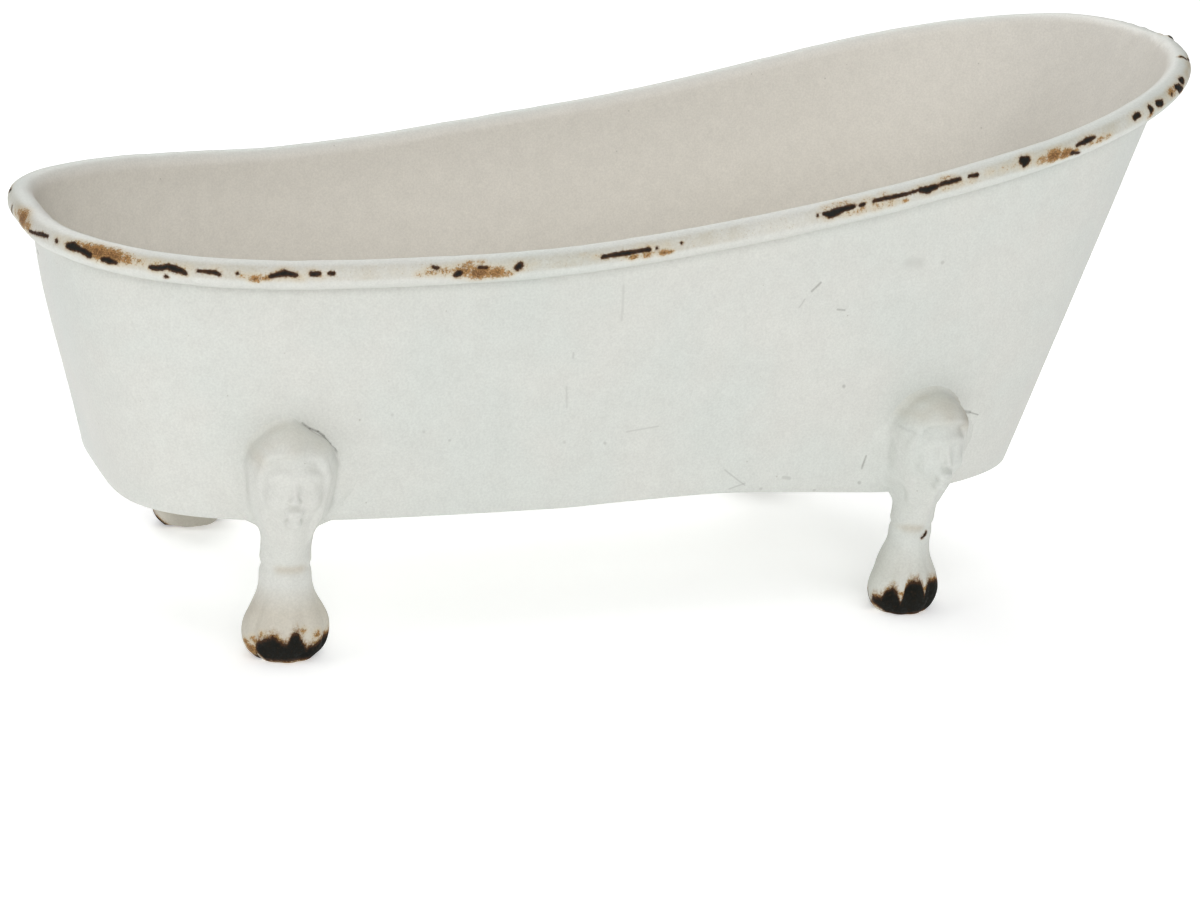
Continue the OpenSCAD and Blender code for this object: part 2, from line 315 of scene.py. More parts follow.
# Rust stains: (mm along, degrees round, radius mm, strength)
FRONT_RUST = [
    (4.6, 17, 1.90, 1.0), (1.2, 22, 1.30, 0.7), (8.6, 7, 1.30, 0.75), (-1.5, 4, 1.20, 0.5),
    (25.3, 33, 0.95, 0.7), (27.2, 28, 1.25, 0.9), (29.4, 26, 1.55, 1.0), (32.0, 25, 1.50, 1.0), (34.4, 24, 1.15, 0.8),
    (37.0, 24, 1.0, 0.55), (40.0, 27, 1.0, 0.45), (20.5, 26, 0.9, 0.4),
    (22.1, 46, 0.72, 0.3), (25.3, 45, 0.89, 0.4),
    (35.9, 11, 0.71, 0.4), (38.0, 14, 0.89, 0.35), (44.8, 23, 1.06, 0.4),
    (54.8, 8, 0.62, 0.5), (56.9, -1, 0.8, 0.9), (58.8, 2, 0.62, 0.8),
    (61.2, 26, 0.89, 0.5), (64.6, 6, 1.06, 0.4),
    (85.9, 6, 0.72, 0.5), (88.0, 15, 1.07, 0.6), (90.6, 13, 1.08, 0.6),
    (94.0, 12, 1.44, 0.8), (96.8, 0, 1.44, 1.0), (99.8, -5, 1.26, 0.9), (102.0, -11, 0.9, 0.7),
    (95.0, 41, 0.72, 0.7), (97.1, 42, 0.72, 0.6), (107.0, 20, 0.72, 0.25),
    (116.3, 35, 0.55, 0.3), (118.5, 22, 0.64, 0.4),
    (125.8, -2, 0.73, 0.8), (128.5, -4, 0.73, 0.8), (131.7, -5, 0.73, 0.9), (132.8, -8, 0.55, 0.8),
    (127.0, 35, 1.1, 0.3), (132.0, 24, 0.92, 0.3),
    (164.1, 51, 0.93, 0.45), (166.6, 55, 1.12, 0.50), (168.2, 56, 0.93, 0.45),
    (168.3, 8, 1.10, 0.50), (171.2, 8, 1.20, 0.56), (174.5, 8, 1.20, 0.56), (177.4, 4, 1.00, 0.50),
    (180.2, 0, 0.56, 0.72), (172.2, 44, 1.12, 0.40), (176.0, 51, 0.94, 0.40),
    (189.0, 50, 1.04, 0.52), (190.5, 50, 0.76, 0.42),
    (189.2, 11, 0.94, 0.48), (191.8, 11, 0.94, 0.42), (194.5, 7, 0.76, 0.42),
    (198.5, 23, 0.95, 0.4), (201.9, 20, 0.95, 0.4), (203.9, 20, 0.76, 0.4),
    (210.7, 6, 1.05, 0.7), (213.5, 7, 1.34, 1.0), (216.5, -2, 1.06, 1.0), (218.6, -7, 0.67, 0.9),
    (222.9, 3, 0.77, 0.6), (225.3, 1, 0.87, 0.7), (227.5, -1, 0.78, 0.6),
    (240.5, -8, 0.69, 0.8), (249.2, 30, 1.1, 0.8), (249.9, 12, 0.8, 0.6), (264.6, 84, 0.61, 0.7),
    (267.0, 34, 1.2, 0.42), (263.0, 42, 1.3, 0.36), (259.0, 32, 1.2, 0.36), (269.0, 14, 0.9, 0.5),
]


def back_wear():
    """The same kind of wear for the head end and the back, which the photograph doesn't show."""
    rs = np.random.RandomState(41)
    chips, rust = [], []
    s = 286.0
    while s < RIM_ROUND - 12:
        base = 16 + rs.uniform(-10, 14)
        kind = rs.uniform()
        if kind < 0.35:  # a dot
            r = rs.uniform(0.22, 0.62)
            chips.append([(s, base, r), (s + rs.uniform(-0.3, 0.3), base + rs.uniform(-6, 6), r * 0.8)])
            step = rs.uniform(2.5, 9)
        elif kind < 0.8:  # a ragged chip, drawn out along the rim
            chain, q, b = [], s, base
            big = rs.choice([0.0, 0.0, 0.25])
            for _ in range(rs.randint(3, 9)):
                chain.append((q, b, rs.uniform(0.22, 0.58) + big))
                q += rs.uniform(0.7, 1.6)
                b += rs.uniform(-6, 6)
            chips.append(chain)
            for k in range(0, len(chain), 2):
                rust.append((chain[k][0] + rs.uniform(-0.6, 0.6), chain[k][1] + rs.choice([-16, 16]) * rs.uniform(0.6, 1.3),
                             rs.uniform(0.6, 1.2), rs.uniform(0.4, 1.0)))
            step = q - s + (rs.uniform(18, 34) if rs.uniform() < 0.22 else rs.uniform(2.5, 9))
        else:  # a long thin line
            chips.append([(s, base, 0.2), (s + 2.2, base + 2, 0.3), (s + 4.6, base - 3, 0.26), (s + 6.5, base - 5, 0.17)])
            rust.append((s + 3, base - 15, 1.0, 0.7))
            step = rs.uniform(9, 18)
        s += step
    return chips, rust


_bc, _br = back_wear()
RIM_CHIPS = FRONT_CHIPS + _bc
# a faint stain round every larger chip
RIM_RUST = FRONT_RUST + _br + [(c[0], c[1] + 7 * (-1) ** i, 0.75 + 0.7 * c[2], 0.40) for chain in RIM_CHIPS
                               for i, c in enumerate(chain) if c[2] > 0.36]


def wrap(ds):
    return (ds + RIM_ROUND / 2) % RIM_ROUND - RIM_ROUND / 2


def chain_distance(s, t, chain):
    """Distance in mm from (s, t) to a chain of discs of changing size, negative inside."""
    pts = [(c[0], math.radians(c[1]) * BEAD_R, c[2] + (0.05 if c[2] < 0.42 else 0.0)) for c in chain]
    if len(pts) == 1:
        pts = pts * 2
    best = np.full(s.shape, 9.0)
    near = np.abs(wrap(s - pts[0][0])) < 14
    if not near.any():
        return best
    S, T = wrap(s[near] - pts[0][0]), t[near]
    d = np.full(S.shape, 9.0)
    for p, q in zip(pts[:-1], pts[1:]):
        ax, ay = p[0] - pts[0][0], p[1]
        bx, by = q[0] - pts[0][0], q[1]
        vx, vy = bx - ax, by - ay
        h = np.clip(((S - ax) * vx + (T - ay) * vy) / max(vx * vx + vy * vy, 1e-9), 0, 1)
        d = np.minimum(d, np.hypot(S - ax - h * vx, T - ay - h * vy) - (p[2] + h * (q[2] - p[2])))
    best[near] = d
    return best


def rim_wear(s, t):
    chip = np.full(s.shape, 9.0)
    for chain in RIM_CHIPS:
        chip = np.minimum(chip, chain_distance(s, t, chain))
    rust = np.zeros(s.shape)
    for c in RIM_RUST:
        ds, dt = wrap(s - c[0]), t - math.radians(c[1]) * BEAD_R
        m = np.abs(ds) < 8
        rust[m] = np.maximum(rust[m], c[3] * np.exp(-((ds[m] / 1.7) ** 2 + dt[m] ** 2) / (1.4 * c[2] ** 2)))
    return chip, rust


# ---------------------------------------------------------------------------
# Wall with its rolled rim, one sheet
# ---------------------------------------------------------------------------
def build_wall():
    step_f, step_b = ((0.31, 0.92))
    s = np.concatenate([np.arange(-14, 286, step_f), np.arange(286, RIM_ROUND - 14, step_b)])
    a = angle_at(s)
    k = Around(a)
    b0 = math.pi - k.lean
    span = 2 * math.pi - CURL_GAP

    def wave(p, amp):
        """Slight unevenness of hand-worked sheet."""
        return amp * (0.7 * noise3(p, 34.0, 3) + 0.4 * noise3(p, 15.0, 4))

    n_in, n_out = 12, 13
    v_in = np.linspace(0, 0.985, n_in)
    v_out = np.linspace(1.0, 0, n_out)
    cols, bs, kinds = [], [], []
    for v in v_in:
        p = k.wall(np.full_like(a, v), SHEET)
        n = k.wall_out(np.full_like(a, v))
        cols.append(p + n * wave(k.wall(np.full_like(a, v)), 0.28)[:, None] * np.sin(math.pi * min(v, 0.98)))
        bs.append(None)
        kinds.append("in")
    # round the bead: finer where it shows from outside
    frac = np.concatenate([np.linspace(0, 0.24, 6)[:-1], np.linspace(0.24, 0.76, 28)[:-1], np.linspace(0.76, 1.0, 8)])
    for f in frac:
        b = b0 - span * f
        r = BEAD_R
        p, d = k.roll(r, b)
        cols.append(p)
        bs.append(b)
        kinds.append("bead")
    for r in (BEAD_R - 0.22, HOLLOW_R + 0.2):
        b = b0 - span - 0.06
        cols.append(k.roll(r, b)[0])
        bs.append(None)
        kinds.append("edge")
    for f in np.linspace(1.0, 0.02, 9):
        b = b0 - span * f
        cols.append(k.roll(HOLLOW_R, b)[0])
        bs.append(None)
        kinds.append("hollow")
    for v in v_out:
        p = k.wall(np.full_like(a, v))
        n = k.wall_out(np.full_like(a, v))
        cols.append(p + n * wave(p, 0.28)[:, None] * np.sin(math.pi * min(v, 0.98)))
        bs.append(None)
        kinds.append("out")
    # soft lower edge
    p0 = k.floor - 0.0
    cols[-1] = cols[-1] + np.array([0, 0, 0.18])
    cols.append(k.wall(np.zeros_like(a), 0.16) - np.array([0, 0, 0.02]))
    kinds.append("foot")
    bs.append(None)
    cols.append(k.wall(np.zeros_like(a), 0.62) - np.array([0, 0, 0.02]))
    kinds.append("foot")
    bs.append(None)
    cols[0] = cols[0] + np.array([0, 0, 0.16])

    P = np.stack(cols, 1)  # around x section x 3
    rows, width = P.shape[:2]
    chip = np.full((rows, width), 9.0)
    rust = np.zeros((rows, width))
    inside = np.zeros((rows, width))
    band = np.zeros((rows, width))
    stain = np.zeros((rows, width))
    for j, kind in enumerate(kinds):
        if kind == "bead":
            t = bs[j] * BEAD_R
            chip[:, j], rust[:, j] = rim_wear(s, t)
            # lumps of thick paint, and the step down where it has chipped off
            d = np.cos(bs[j])[:, None] * k.rim_out + np.sin(bs[j])[:, None] * UP
            lump = 0.045 * noise3(P[:, j], 2.6, 7) + 0.05 * noise3(P[:, j], 7.0, 8)
            drop = -0.11 * np.clip(0.5 - chip[:, j] / 0.3, 0, 1)
            flaky = np.exp(-((s - 284.0) / 13.0) ** 2) * np.clip(np.degrees(bs[j]) / 30, 0, 1)
            lump = lump + 0.27 * flaky * noise3(P[:, j], 1.5, 9)
            bead_b = (s - 279.8) / 1.0, (np.degrees(bs[j]) - 64) / 22.0
            lump = lump + 0.62 * np.exp(-bead_b[0] ** 2 - bead_b[1] ** 2)
            P[:, j] += d * (lump + drop)[:, None]
            inside[:, j] = np.clip((bs[j] - math.radians(95)) / math.radians(60), 0, 1)
            # the rubbed band along the bead's outer shoulder
            b = np.degrees(bs[j])
            rise, fall = np.clip((b + 20) / 20, 0, 1), np.clip((66 - b) / 26, 0, 1)
            band[:, j] = (rise * rise * (3 - 2 * rise)) * (fall * fall * (3 - 2 * fall))
            # a darker smear round the foot end
            ds = wrap(s - 4.4)
            stain[:, j] = 0.62 * np.exp(-(ds / 5.0) ** 2) * np.exp(-((b - 20) / 40.0) ** 2)
        elif kind == "in":
            inside[:, j] = 1.0
    ob = mesh_object("tub_wall", P.reshape(-1, 3), [grid_faces(rows, width, flip=True)], attributes={
        "chip": chip.ravel(), "rust": rust.ravel(), "inside": inside.ravel(), "band": band.ravel(),
        "stain": stain.ravel()})
    return ob


# ---------------------------------------------------------------------------
# Floor pan with its upturned flange and the solder run along it
# ---------------------------------------------------------------------------
def build_pan():
    n = 900
    a = np.linspace(0, 2 * math.pi, n, endpoint=False)
    # even spacing along the outline
    fa = np.linspace(0, 2 * math.pi, 12001)
    fp = floor_point(fa)
    fs = np.concatenate([[0], np.cumsum(np.linalg.norm(np.diff(fp, axis=0), axis=1))])
    a = np.interp(np.linspace(0, fs[-1], n, endpoint=False), fs, fa)
    k = Around(a)
    slope = np.tan(k.lean)

    def ring(z, inset):
        """Ring at height z, inset from the wall's inner face."""
        off = (z - FLOOR_Z) * slope - (SHEET + inset) / np.cos(k.lean) - 0.03
        return np.stack([k.floor[:, 0] + k.floor_out[:, 0] * off, k.floor[:, 1] + k.floor_out[:, 1] * off,
                         z + k.floor[:, 2] - FLOOR_Z], -1)

    centre = np.array([FLOOR_X, 0.0])

    def disc(z, inset, shares):
        edge = ring(z, inset)
        out = []
        for f in shares:
            p = edge.copy()
            p[:, :2] = centre + (edge[:, :2] - centre) * f
            p[:, 2] = z + (edge[:, 2] - z) * f ** 3
            out.append(p)
        return out

    shares = np.linspace(0.0, 1.0, 16)[1:]
    cols = []
    # upper face, from the middle out, with a soft corner up into the flange
    for i, p in enumerate(disc(FLOOR_Z + SHEET, SHEET + 2.2, shares)):
        cols.append(p)
    for q in (18, 36, 54, 72, 90):
        r = math.radians(q)
        cols.append(ring(FLOOR_Z + SHEET + 2.0 * (1 - math.cos(r)), SHEET + 2.2 - 2.2 * math.sin(r)))
    top = FLOOR_Z + FLANGE_H
    cols.append(ring(top - 0.7, SHEET))
    # the solder: a soft, uneven run that closes the flange's edge against the wall
    w = noise3(ring(top, 0.4), 5.0, 21) * 0.18
    for h, inset in ((-0.25, SHEET + 0.32), (0.2, SHEET + 0.30), (0.55, 0.62), (0.85, 0.22), (1.0, -0.02)):
        p = ring(top + h, inset)
        bump = w if inset > 0 else w * 0.4
        p[:, 2] += bump * 0.8
        p[:, :2] -= k.floor_out[:, :2] * (bump * 0.6)[:, None] if inset > 0.1 else 0
        cols.append(p)
    cols.append(ring(top - 0.4, 0.0))
    cols.append(ring(FLOOR_Z + 0.9, 0.0))
    for q in (30, 60, 90):
        r = math.radians(q)
        cols.append(ring(FLOOR_Z + 0.9 * (1 - math.sin(r)) + 0.06, 0.9 * (1 - math.cos(r))))
    under = disc(FLOOR_Z + 0.06, 1.6, shares[::-1])
    cols += under
    P = np.stack(cols, 1)
    rows, width = P.shape[:2]
    # the pressed floor isn't perfectly flat
    free = np.zeros(width)
    free[:14] = np.linspace(1, 0, 14)
    free[-14:] = np.linspace(0, 1, 14)
    lift = 0.35 * noise3(P[:, :, :] * np.array([1, 1, 0]), 30.0, 5) + 0.12 * noise3(P * np.array([1, 1, 0]), 12.0, 6)
    P[:, :, 2] += np.maximum(lift, -0.0) * free[None, :] * 1.0
    faces = grid_faces(rows, width, close_cols=False, flip=True)
    V = P.reshape(-1, 3)
    c1, c2 = len(V), len(V) + 1
    V = np.vstack([V, [[FLOOR_X, 0, P[:, 0, 2].mean()], [FLOOR_X, 0, P[:, -1, 2].mean()]]])
    i = np.arange(rows)
    fan1 = np.stack([np.full(rows, c1), i * width, ((i + 1) % rows) * width], -1)
    fan2 = np.stack([np.full(rows, c2), ((i + 1) % rows) * width + width - 1, i * width + width - 1], -1)
    inside = np.zeros((rows, width))
    inside[:, :width - len(under) - 5] = 1
    inside = np.concatenate([inside.ravel(), [1, 0]])
    return mesh_object("floor_pan_sheet", V, [faces, fan1, fan2], attributes={
        "chip": np.full(len(V), 9.0), "rust": np.zeros(len(V)), "inside": inside, "band": np.zeros(len(V)),
        "stain": np.zeros(len(V))})


# ---------------------------------------------------------------------------
# Sculpting on a grid of distances, and the surface taken from it
# ---------------------------------------------------------------------------
class Clay:
    def __init__(self, lo, hi, h):
        self.lo, self.h = np.array(lo, np.float64), h
        self.n = np.ceil((np.array(hi) - self.lo) / h).astype(int) + 1
        self.ax = [(self.lo[i] + h * np.arange(self.n[i])).astype(np.float32) for i in range(3)]
        self.d = np.full(self.n, 9.0, np.float32)

    def block(self, lo, hi):
        sl = []
        for i in range(3):
            a = int(max(0, math.floor((lo[i] - self.lo[i]) / self.h)))
            b = int(min(self.n[i], math.ceil((hi[i] - self.lo[i]) / self.h) + 1))
            sl.append(slice(a, max(a, b)))
        x = self.ax[0][sl[0]][:, None, None]
        y = self.ax[1][sl[1]][None, :, None]
        z = self.ax[2][sl[2]][None, None, :]
        return tuple(sl), x, y, z

    def put(self, sl, e, k, cut=False):
        d = self.d[sl]
        if cut:
            e = -e
            if k <= 0:
                self.d[sl] = np.maximum(d, e)
            else:
                h = np.clip(0.5 - 0.5 * (e - d) / k, 0, 1)
                self.d[sl] = e * (1 - h) + d * h + k * h * (1 - h)
        else:
            if k <= 0:
                self.d[sl] = np.minimum(d, e)
            else:
                h = np.clip(0.5 + 0.5 * (d - e) / k, 0, 1)
                self.d[sl] = d * (1 - h) + e * h - k * h * (1 - h)

    def stroke(self, pts, k=0.6, cut=False, sym=False):
        """A chain of balls of changing size: pts are (x, y, z, radius)."""
        pts = [tuple(map(float, p)) for p in pts]
        if len(pts) == 1:
            pts = pts * 2
        P = np.array(pts)
        m = P[:, 3].max() + k + 0.8
        for mirror in ((1, -1) if sym else (1,)):
            Q = P.copy()
            Q[:, 0] *= mirror
            sl, x, y, z = self.block(Q[:, :3].min(0) - m, Q[:, :3].max(0) + m)
            e = None
            for a, b in zip(Q[:-1], Q[1:]):
                v = b[:3] - a[:3]
                L = max(float(v @ v), 1e-9)
                t = np.clip(((x - a[0]) * v[0] + (y - a[1]) * v[1] + (z - a[2]) * v[2]) / L, 0, 1)
                w = np.sqrt((x - a[0] - t * v[0]) ** 2 + (y - a[1] - t * v[1]) ** 2 + (z - a[2] - t * v[2]) ** 2)
                w = w - (a[3] + t * (b[3] - a[3]))
                e = w if e is None else np.minimum(e, w)
            self.put(sl, e.astype(np.float32), k, cut)

    def egg(self, c, r, k=0.6, cut=False, sym=False, turn=0.0):
        """An ellipsoid, turned about the y axis by turn degrees."""
        c, r = np.array(c, float), np.array(r, float)
        for mirror in ((1, -1) if sym else (1,)):
            cx = c[0] * mirror
            m = r.max() + k + 0.6
            sl, x, y, z = self.block((cx - m, c[1] - m, c[2] - m), (cx + m, c[1] + m, c[2] + m))
            ct, st = math.cos(math.radians(turn) * mirror), math.sin(math.radians(turn) * mirror)
            px, py, pz = x - cx, y - c[1], z - c[2]
            qx, qz = ct * px + st * pz, -st * px + ct * pz
            k0 = np.sqrt((qx / r[0]) ** 2 + (py / r[1]) ** 2 + (qz / r[2]) ** 2)
            k1 = np.sqrt((qx / r[0] ** 2) ** 2 + (py / r[1] ** 2) ** 2 + (qz / r[2] ** 2) ** 2)
            e = k0 * (k0 - 1) / np.maximum(k1, 1e-4)
            self.put(sl, e.astype(np.float32), k, cut)


def surface_nets(d, lo, h):
    s = d < 0
    nx, ny, nz = d.shape
    corners = [(i, j, k) for i in (0, 1) for j in (0, 1) for k in (0, 1)]

    def sub(arr, c):
        return arr[c[0]:nx - 1 + c[0], c[1]:ny - 1 + c[1], c[2]:nz - 1 + c[2]]

    count = np.zeros((nx - 1, ny - 1, nz - 1), np.int8)
    for c in corners:
        count += sub(s, c)
    mixed = (count > 0) & (count < 8)
    cells = np.argwhere(mixed)
    index = np.full(mixed.shape, -1, np.int64)
    index[mixed] = np.arange(len(cells))
    val = {c: sub(d, c)[mixed].astype(np.float64) for c in corners}
    acc, cnt = np.zeros((len(cells), 3)), np.zeros(len(cells))
    for c in corners:
        for ax in range(3):
            if c[ax]:
                continue
            e = list(c)
            e[ax] = 1
            va, vb = val[c], val[tuple(e)]
            m = (va < 0) != (vb < 0)
            t = va[m] / (va[m] - vb[m])
            p = np.tile(np.array(c, float), (m.sum(), 1))
            p[:, ax] += t
            acc[m] += p
            cnt[m] += 1
    verts = np.array(lo) + h * (cells + acc / cnt[:, None])
    faces = []
    for ax in range(3):
        u, v = (ax + 1) % 3, (ax + 2) % 3
        lo_sl = [slice(None)] * 3
        hi_sl = [slice(None)] * 3
        lo_sl[ax], hi_sl[ax] = slice(0, -1), slice(1, None)
        a, b = s[tuple(lo_sl)], s[tuple(hi_sl)]
        loc = np.argwhere(a != b)
        ok = (loc[:, u] > 0) & (loc[:, v] > 0) & (loc[:, u] < d.shape[u] - 1) & (loc[:, v] < d.shape[v] - 1)
        loc = loc[ok]
        first = a[tuple(loc.T)]
        eu, ev = np.zeros(3, int), np.zeros(3, int)
        eu[u], ev[v] = 1, 1
        q = np.stack([index[tuple((loc - eu - ev).T)], index[tuple((loc - ev).T)], index[tuple(loc.T)],
                      index[tuple((loc - eu).T)]], -1)
        q[~first] = q[~first][:, ::-1]
        faces.append(q)
    return verts, np.vstack(faces)


def relax(verts, faces, rounds=2, share=0.5):
    n = len(verts)
    e = np.vstack([faces[:, [0, 1]], faces[:, [1, 2]], faces[:, [2, 3]], faces[:, [3, 0]]])
    for _ in range(rounds):
        acc = np.zeros((n, 3))
        for ax in range(3):
            acc[:, ax] = np.bincount(e[:, 0], verts[e[:, 1], ax], n) + np.bincount(e[:, 1], verts[e[:, 0], ax], n)
        deg = np.bincount(e[:, 0], minlength=n) + np.bincount(e[:, 1], minlength=n)
        verts = verts + share * (acc / np.maximum(deg, 1)[:, None] - verts)
    return verts


def hollows(verts, faces, rounds=6):
    """How far each point lies below the smoothed surface, as a sign of grooves."""
    soft = relax(verts, faces, rounds, 0.6)
    p = verts[faces]
    fn = np.cross(p[:, 2] - p[:, 0], p[:, 3] - p[:, 1])
    n = np.zeros_like(verts)
    for c in range(4):
        for ax in range(3):
            n[:, ax] += np.bincount(faces[:, c], fn[:, ax], len(verts))
    n = unit(n + 1e-12)
    return ((soft - verts) * n).sum(-1)


# ---------------------------------------------------------------------------
# Claw feet
# ---------------------------------------------------------------------------
def foot_frame(which):
    a = np.linspace(math.pi + 1e-3, 2 * math.pi - 1e-3, 60001)
    i = int(np.argmin(np.abs(floor_point(a)[:, 0] - FOOT_X[which])))
    a0 = np.array([a[i]])
    n = outward(floor_point, a0)[0]
    p = floor_point(a0)[0]
    o = np.array([p[0], p[1], 0.0]) + FOOT_OUT * n
    x = np.array([n[1], -n[0], 0.0]) * -1.0
    x = np.array([-n[1] * -1.0, n[0] * -1.0, 0.0])
    x = np.array([n[1], -n[0], 0.0])
    return o, x, n, float(a0[0])


def wall_face(which):
    """Polynomial of the wall's outer face, as the outward distance over (x, z) in the foot's own frame."""
    o, ex, n, a0 = foot_frame(which)
    a = np.linspace(a0 - 0.9, a0 + 0.9, 400)
    P = []
    k = Around(a)
    for v in np.linspace(0, 0.62, 24):
        P.append(k.wall(np.full_like(a, v)))
    P = np.concatenate(P)
    q = P - o
    x, y, z = q @ ex, q @ n, q[:, 2]
    m = (np.abs(x) < 15.5) & (z < 52) & (z > 25)
    x, y, z = x[m], y[m], z[m] - 36
    terms = [(i, j) for i in range(6) for j in range(4) if i + j <= 5]
    A = np.stack([(x / 10) ** i * (z / 10) ** j for i, j in terms], -1)
    co = np.linalg.lstsq(A, y, rcond=None)[0]
    return terms, co


# Half widths of the paw, ankle and leg at heights above the ground, across (X)
# and front to back (Y), and how far sideways and out their middle lies
PAW_Z = np.array([0, 0.35, 0.9, 2.6, 4.4, 5.8, 7.0, 8.4, 10.4, 11.4, 12.4, 13.8, 15.4, 17, 18.4, 20, 24, 28, 34])
PAW_X = {
    "low": np.array([5.5, 6.15, 6.85, 7.85, 8.2, 8.25, 8.1, 7.6, 6.5, 5.95, 5.5, 5.15, 4.95, 4.8, 4.68, 4.75, 4.78, 4.85, 5.2]),
    "high": np.array([5.3, 5.9, 6.5, 7.4, 7.85, 7.75, 7.4, 6.75, 5.7, 5.25, 4.9, 4.5, 4.28, 4.35, 4.36, 4.48, 4.7, 4.85, 5.2])}
PAW_Y = {
    "low": np.array([5.5, 6.1, 6.6, 7.2, 7.5, 7.5, 7.3, 6.9, 6.0, 5.45, 4.9, 4.4, 4.2, 4.05, 3.88, 4.0, 3.9, 4.0, 4.4]),
    "high": np.array([5.2, 5.75, 6.2, 6.8, 7.1, 7.05, 6.85, 6.4, 5.5, 5.05, 4.6, 4.2, 4.0, 3.95, 3.8, 3.9, 3.9, 4.0, 4.4])}
LEG_X = {
    "low": np.array([0, 0, 0, 0, 0, -0.05, -0.15, -0.22, -0.18, -0.1, 0.0, 0.15, 0.28, 0.32, 0.35, 0.42, 0.35, 0.2, 0]),
    "high": np.array([0, 0, 0, 0, 0, 0, -0.06, -0.14, -0.17, -0.2, -0.25, -0.35, -0.44, -0.38, -0.32, -0.42, -0.5, -0.3, 0])}
LEG_Y = np.array([0, 0, 0, 0, 0, 0, -0.1, -0.1, 0, 0.1, 0.3, 0.5, 0.7, 0.9, 1.0, 1.1, 1.5, 2.2, 3.0])


def soft_table(z, values, width=0.7):
    """The table's value at z, rounded off over the given height."""
    out = 0
    for o in np.linspace(-1, 1, 9):
        out = out + np.interp(z + o * width, PAW_Z, values)
    return out / 9


def sculpt_foot(which):
    h = 0.2
    clay = Clay((-14.4, -9.4, -0.8), (14.4, 15.6, 48.4), h)
    # --- paw, ankle and leg: an oval column that swells into the paw
    sl, x, y, z = clay.block((-10, -9.2, -1), (10, 10, 32))
    zf = z.ravel()
    wx, wy = soft_table(zf, PAW_X[which]), soft_table(zf, PAW_Y[which])
    cx, c = soft_table(zf, LEG_X[which], 1.5), soft_table(zf, LEG_Y, 2.5)
    wx, wy, cx, c = (v.astype(np.float32)[None, None, :] for v in (wx, wy, cx, c))
    x = x - cx
    q = np.sqrt((x / wx) ** 2 + ((y - c) / wy) ** 2)
    # the heel is narrower than the front
    t = np.clip((zf - 8) / 5, 0, 1).astype(np.float32)[None, None, :]
    p = 1.38 + 0.62 * t * t * (3 - 2 * t)
    heel = (np.abs(x / wx) ** p + np.abs((y - c) / np.minimum(wy, 5.8 + c)) ** p) ** (1 / p)
    q = np.where(y > c, q, heel)
    # shallow grooves between the toes, softened by thick paint
    ang = np.degrees(np.arctan2(x / wx, (y - c) / wy))
    depth = np.interp(zf, [0, 1.2, 4.5, 8.5, 12, 14.5], [0.5, 0.9, 1.0, 0.75, 0.3, 0.0]).astype(np.float32)[None, None, :]
    groove = 0
    for g, amount in ((-98, 0.6), (-62, 0.9), (-24, 1.0), (14, 1.0), (50, 1.0), (92, 0.6)):
        groove = groove + amount * np.exp(-((ang - g) / 6.0) ** 2)
    swell = 0
    for g in (-80, -43, -5, 32, 71):
        swell = swell + np.exp(-((ang - g) / 12.0) ** 2)
    low = np.interp(zf, [0, 2, 5, 9, 12], [0.4, 0.9, 0.9, 0.4, 0.0]).astype(np.float32)[None, None, :]
    # a narrow cuff above the ankle
    cuff = (0.12 * np.exp(-((zf - 19.6) / 0.8) ** 2) - 0.16 * np.exp(-((zf - 18.3) / 0.5) ** 2) +
            0.09 * np.exp(-((zf - 16.6) / 0.9) ** 2)).astype(np.float32)[None, None, :]
    e = (q - 1) * np.minimum(wx, wy) + 0.36 * depth * groove - 0.18 * low * swell - cuff
    # the underside curves up toward the heel
    rise = np.clip(-(y - 0.4) / 3.0, 0, 1) * (0.034 * y * y + 0.055 * np.maximum(np.abs(x) - 1.5, 0) ** 2)
    e = np.maximum(e, (np.minimum(rise, 3.0) - z) * 0.9)
    clay.put(sl, e.astype(np.float32), 0)
    # --- knee: a head that narrows to the leg
    clay.stroke([(0, 4.4, 37.2, 6.6), (0, 4.0, 33.0, 5.9), (0, 3.0, 29.0, 4.9), (0, 2.0, 25.5, 4.0)], k=1.6)
    clay.egg((0, 4.4, 36.4), (6.2, 7.2, 8.6), k=1.0)
    # the plain rounded cap that covers the top of the head
    sl, x, y, z = clay.block((-10, -5.5, 35), (10, 14.5, 48.4))
    turn = np.degrees(np.arctan2(z - 38.6, -x))
    ball_r = 8.2 - (1.3 * np.exp(-((turn - 58) / 24) ** 2) + 0.35 * np.exp(-((turn - 10) / 20) ** 2) +
                    0.4 * np.exp(-((turn - 130) / 22) ** 2) if which == "low" else 0.0)
    ball = np.sqrt(x ** 2 + (y - 4.2) ** 2 + (z - 38.6) ** 2) - ball_r
    edge = (40.9 + 0.16 * (y - 4.2)) - 0.028 * x ** 2 - z
    kk = 1.3
    hh = np.clip(0.5 - 0.5 * (edge - ball) / kk, 0, 1)
    cap = edge * (1 - hh) + ball * hh + kk * hh * (1 - hh)
    clay.put(sl, cap.astype(np.float32), 0.9)
    terms, co = wall_face(which)
    X1, Z1 = np.broadcast_arrays(x[:, :, 0], z[:, 0, :])
    y1 = sum(cc * (X1 / 10) ** i * ((Z1 - 36) / 10) ** j for (i, j), cc in zip(terms, co))[:, None, :].astype(np.float32)
    f = np.clip(1 - (y - y1) / 1.6, 0, 1)
    skirt = np.maximum(np.maximum(np.hypot(x, z - 38.6) - (ball_r - 0.2 + 0.2 * f * f), y - 4.2), 38.4 - z)
    clay.put(sl, skirt.astype(np.float32), 0.5)

    # --- the mask: a plain classical face of even proportions, calm, eyes lowered
    # forehead and brow
    clay.stroke([(0.9, 11.0, 38.6, 0.5), (2.5, 10.9, 39.0, 0.55), (4.4, 9.6, 38.3, 0.45)], k=1.0, sym=True)
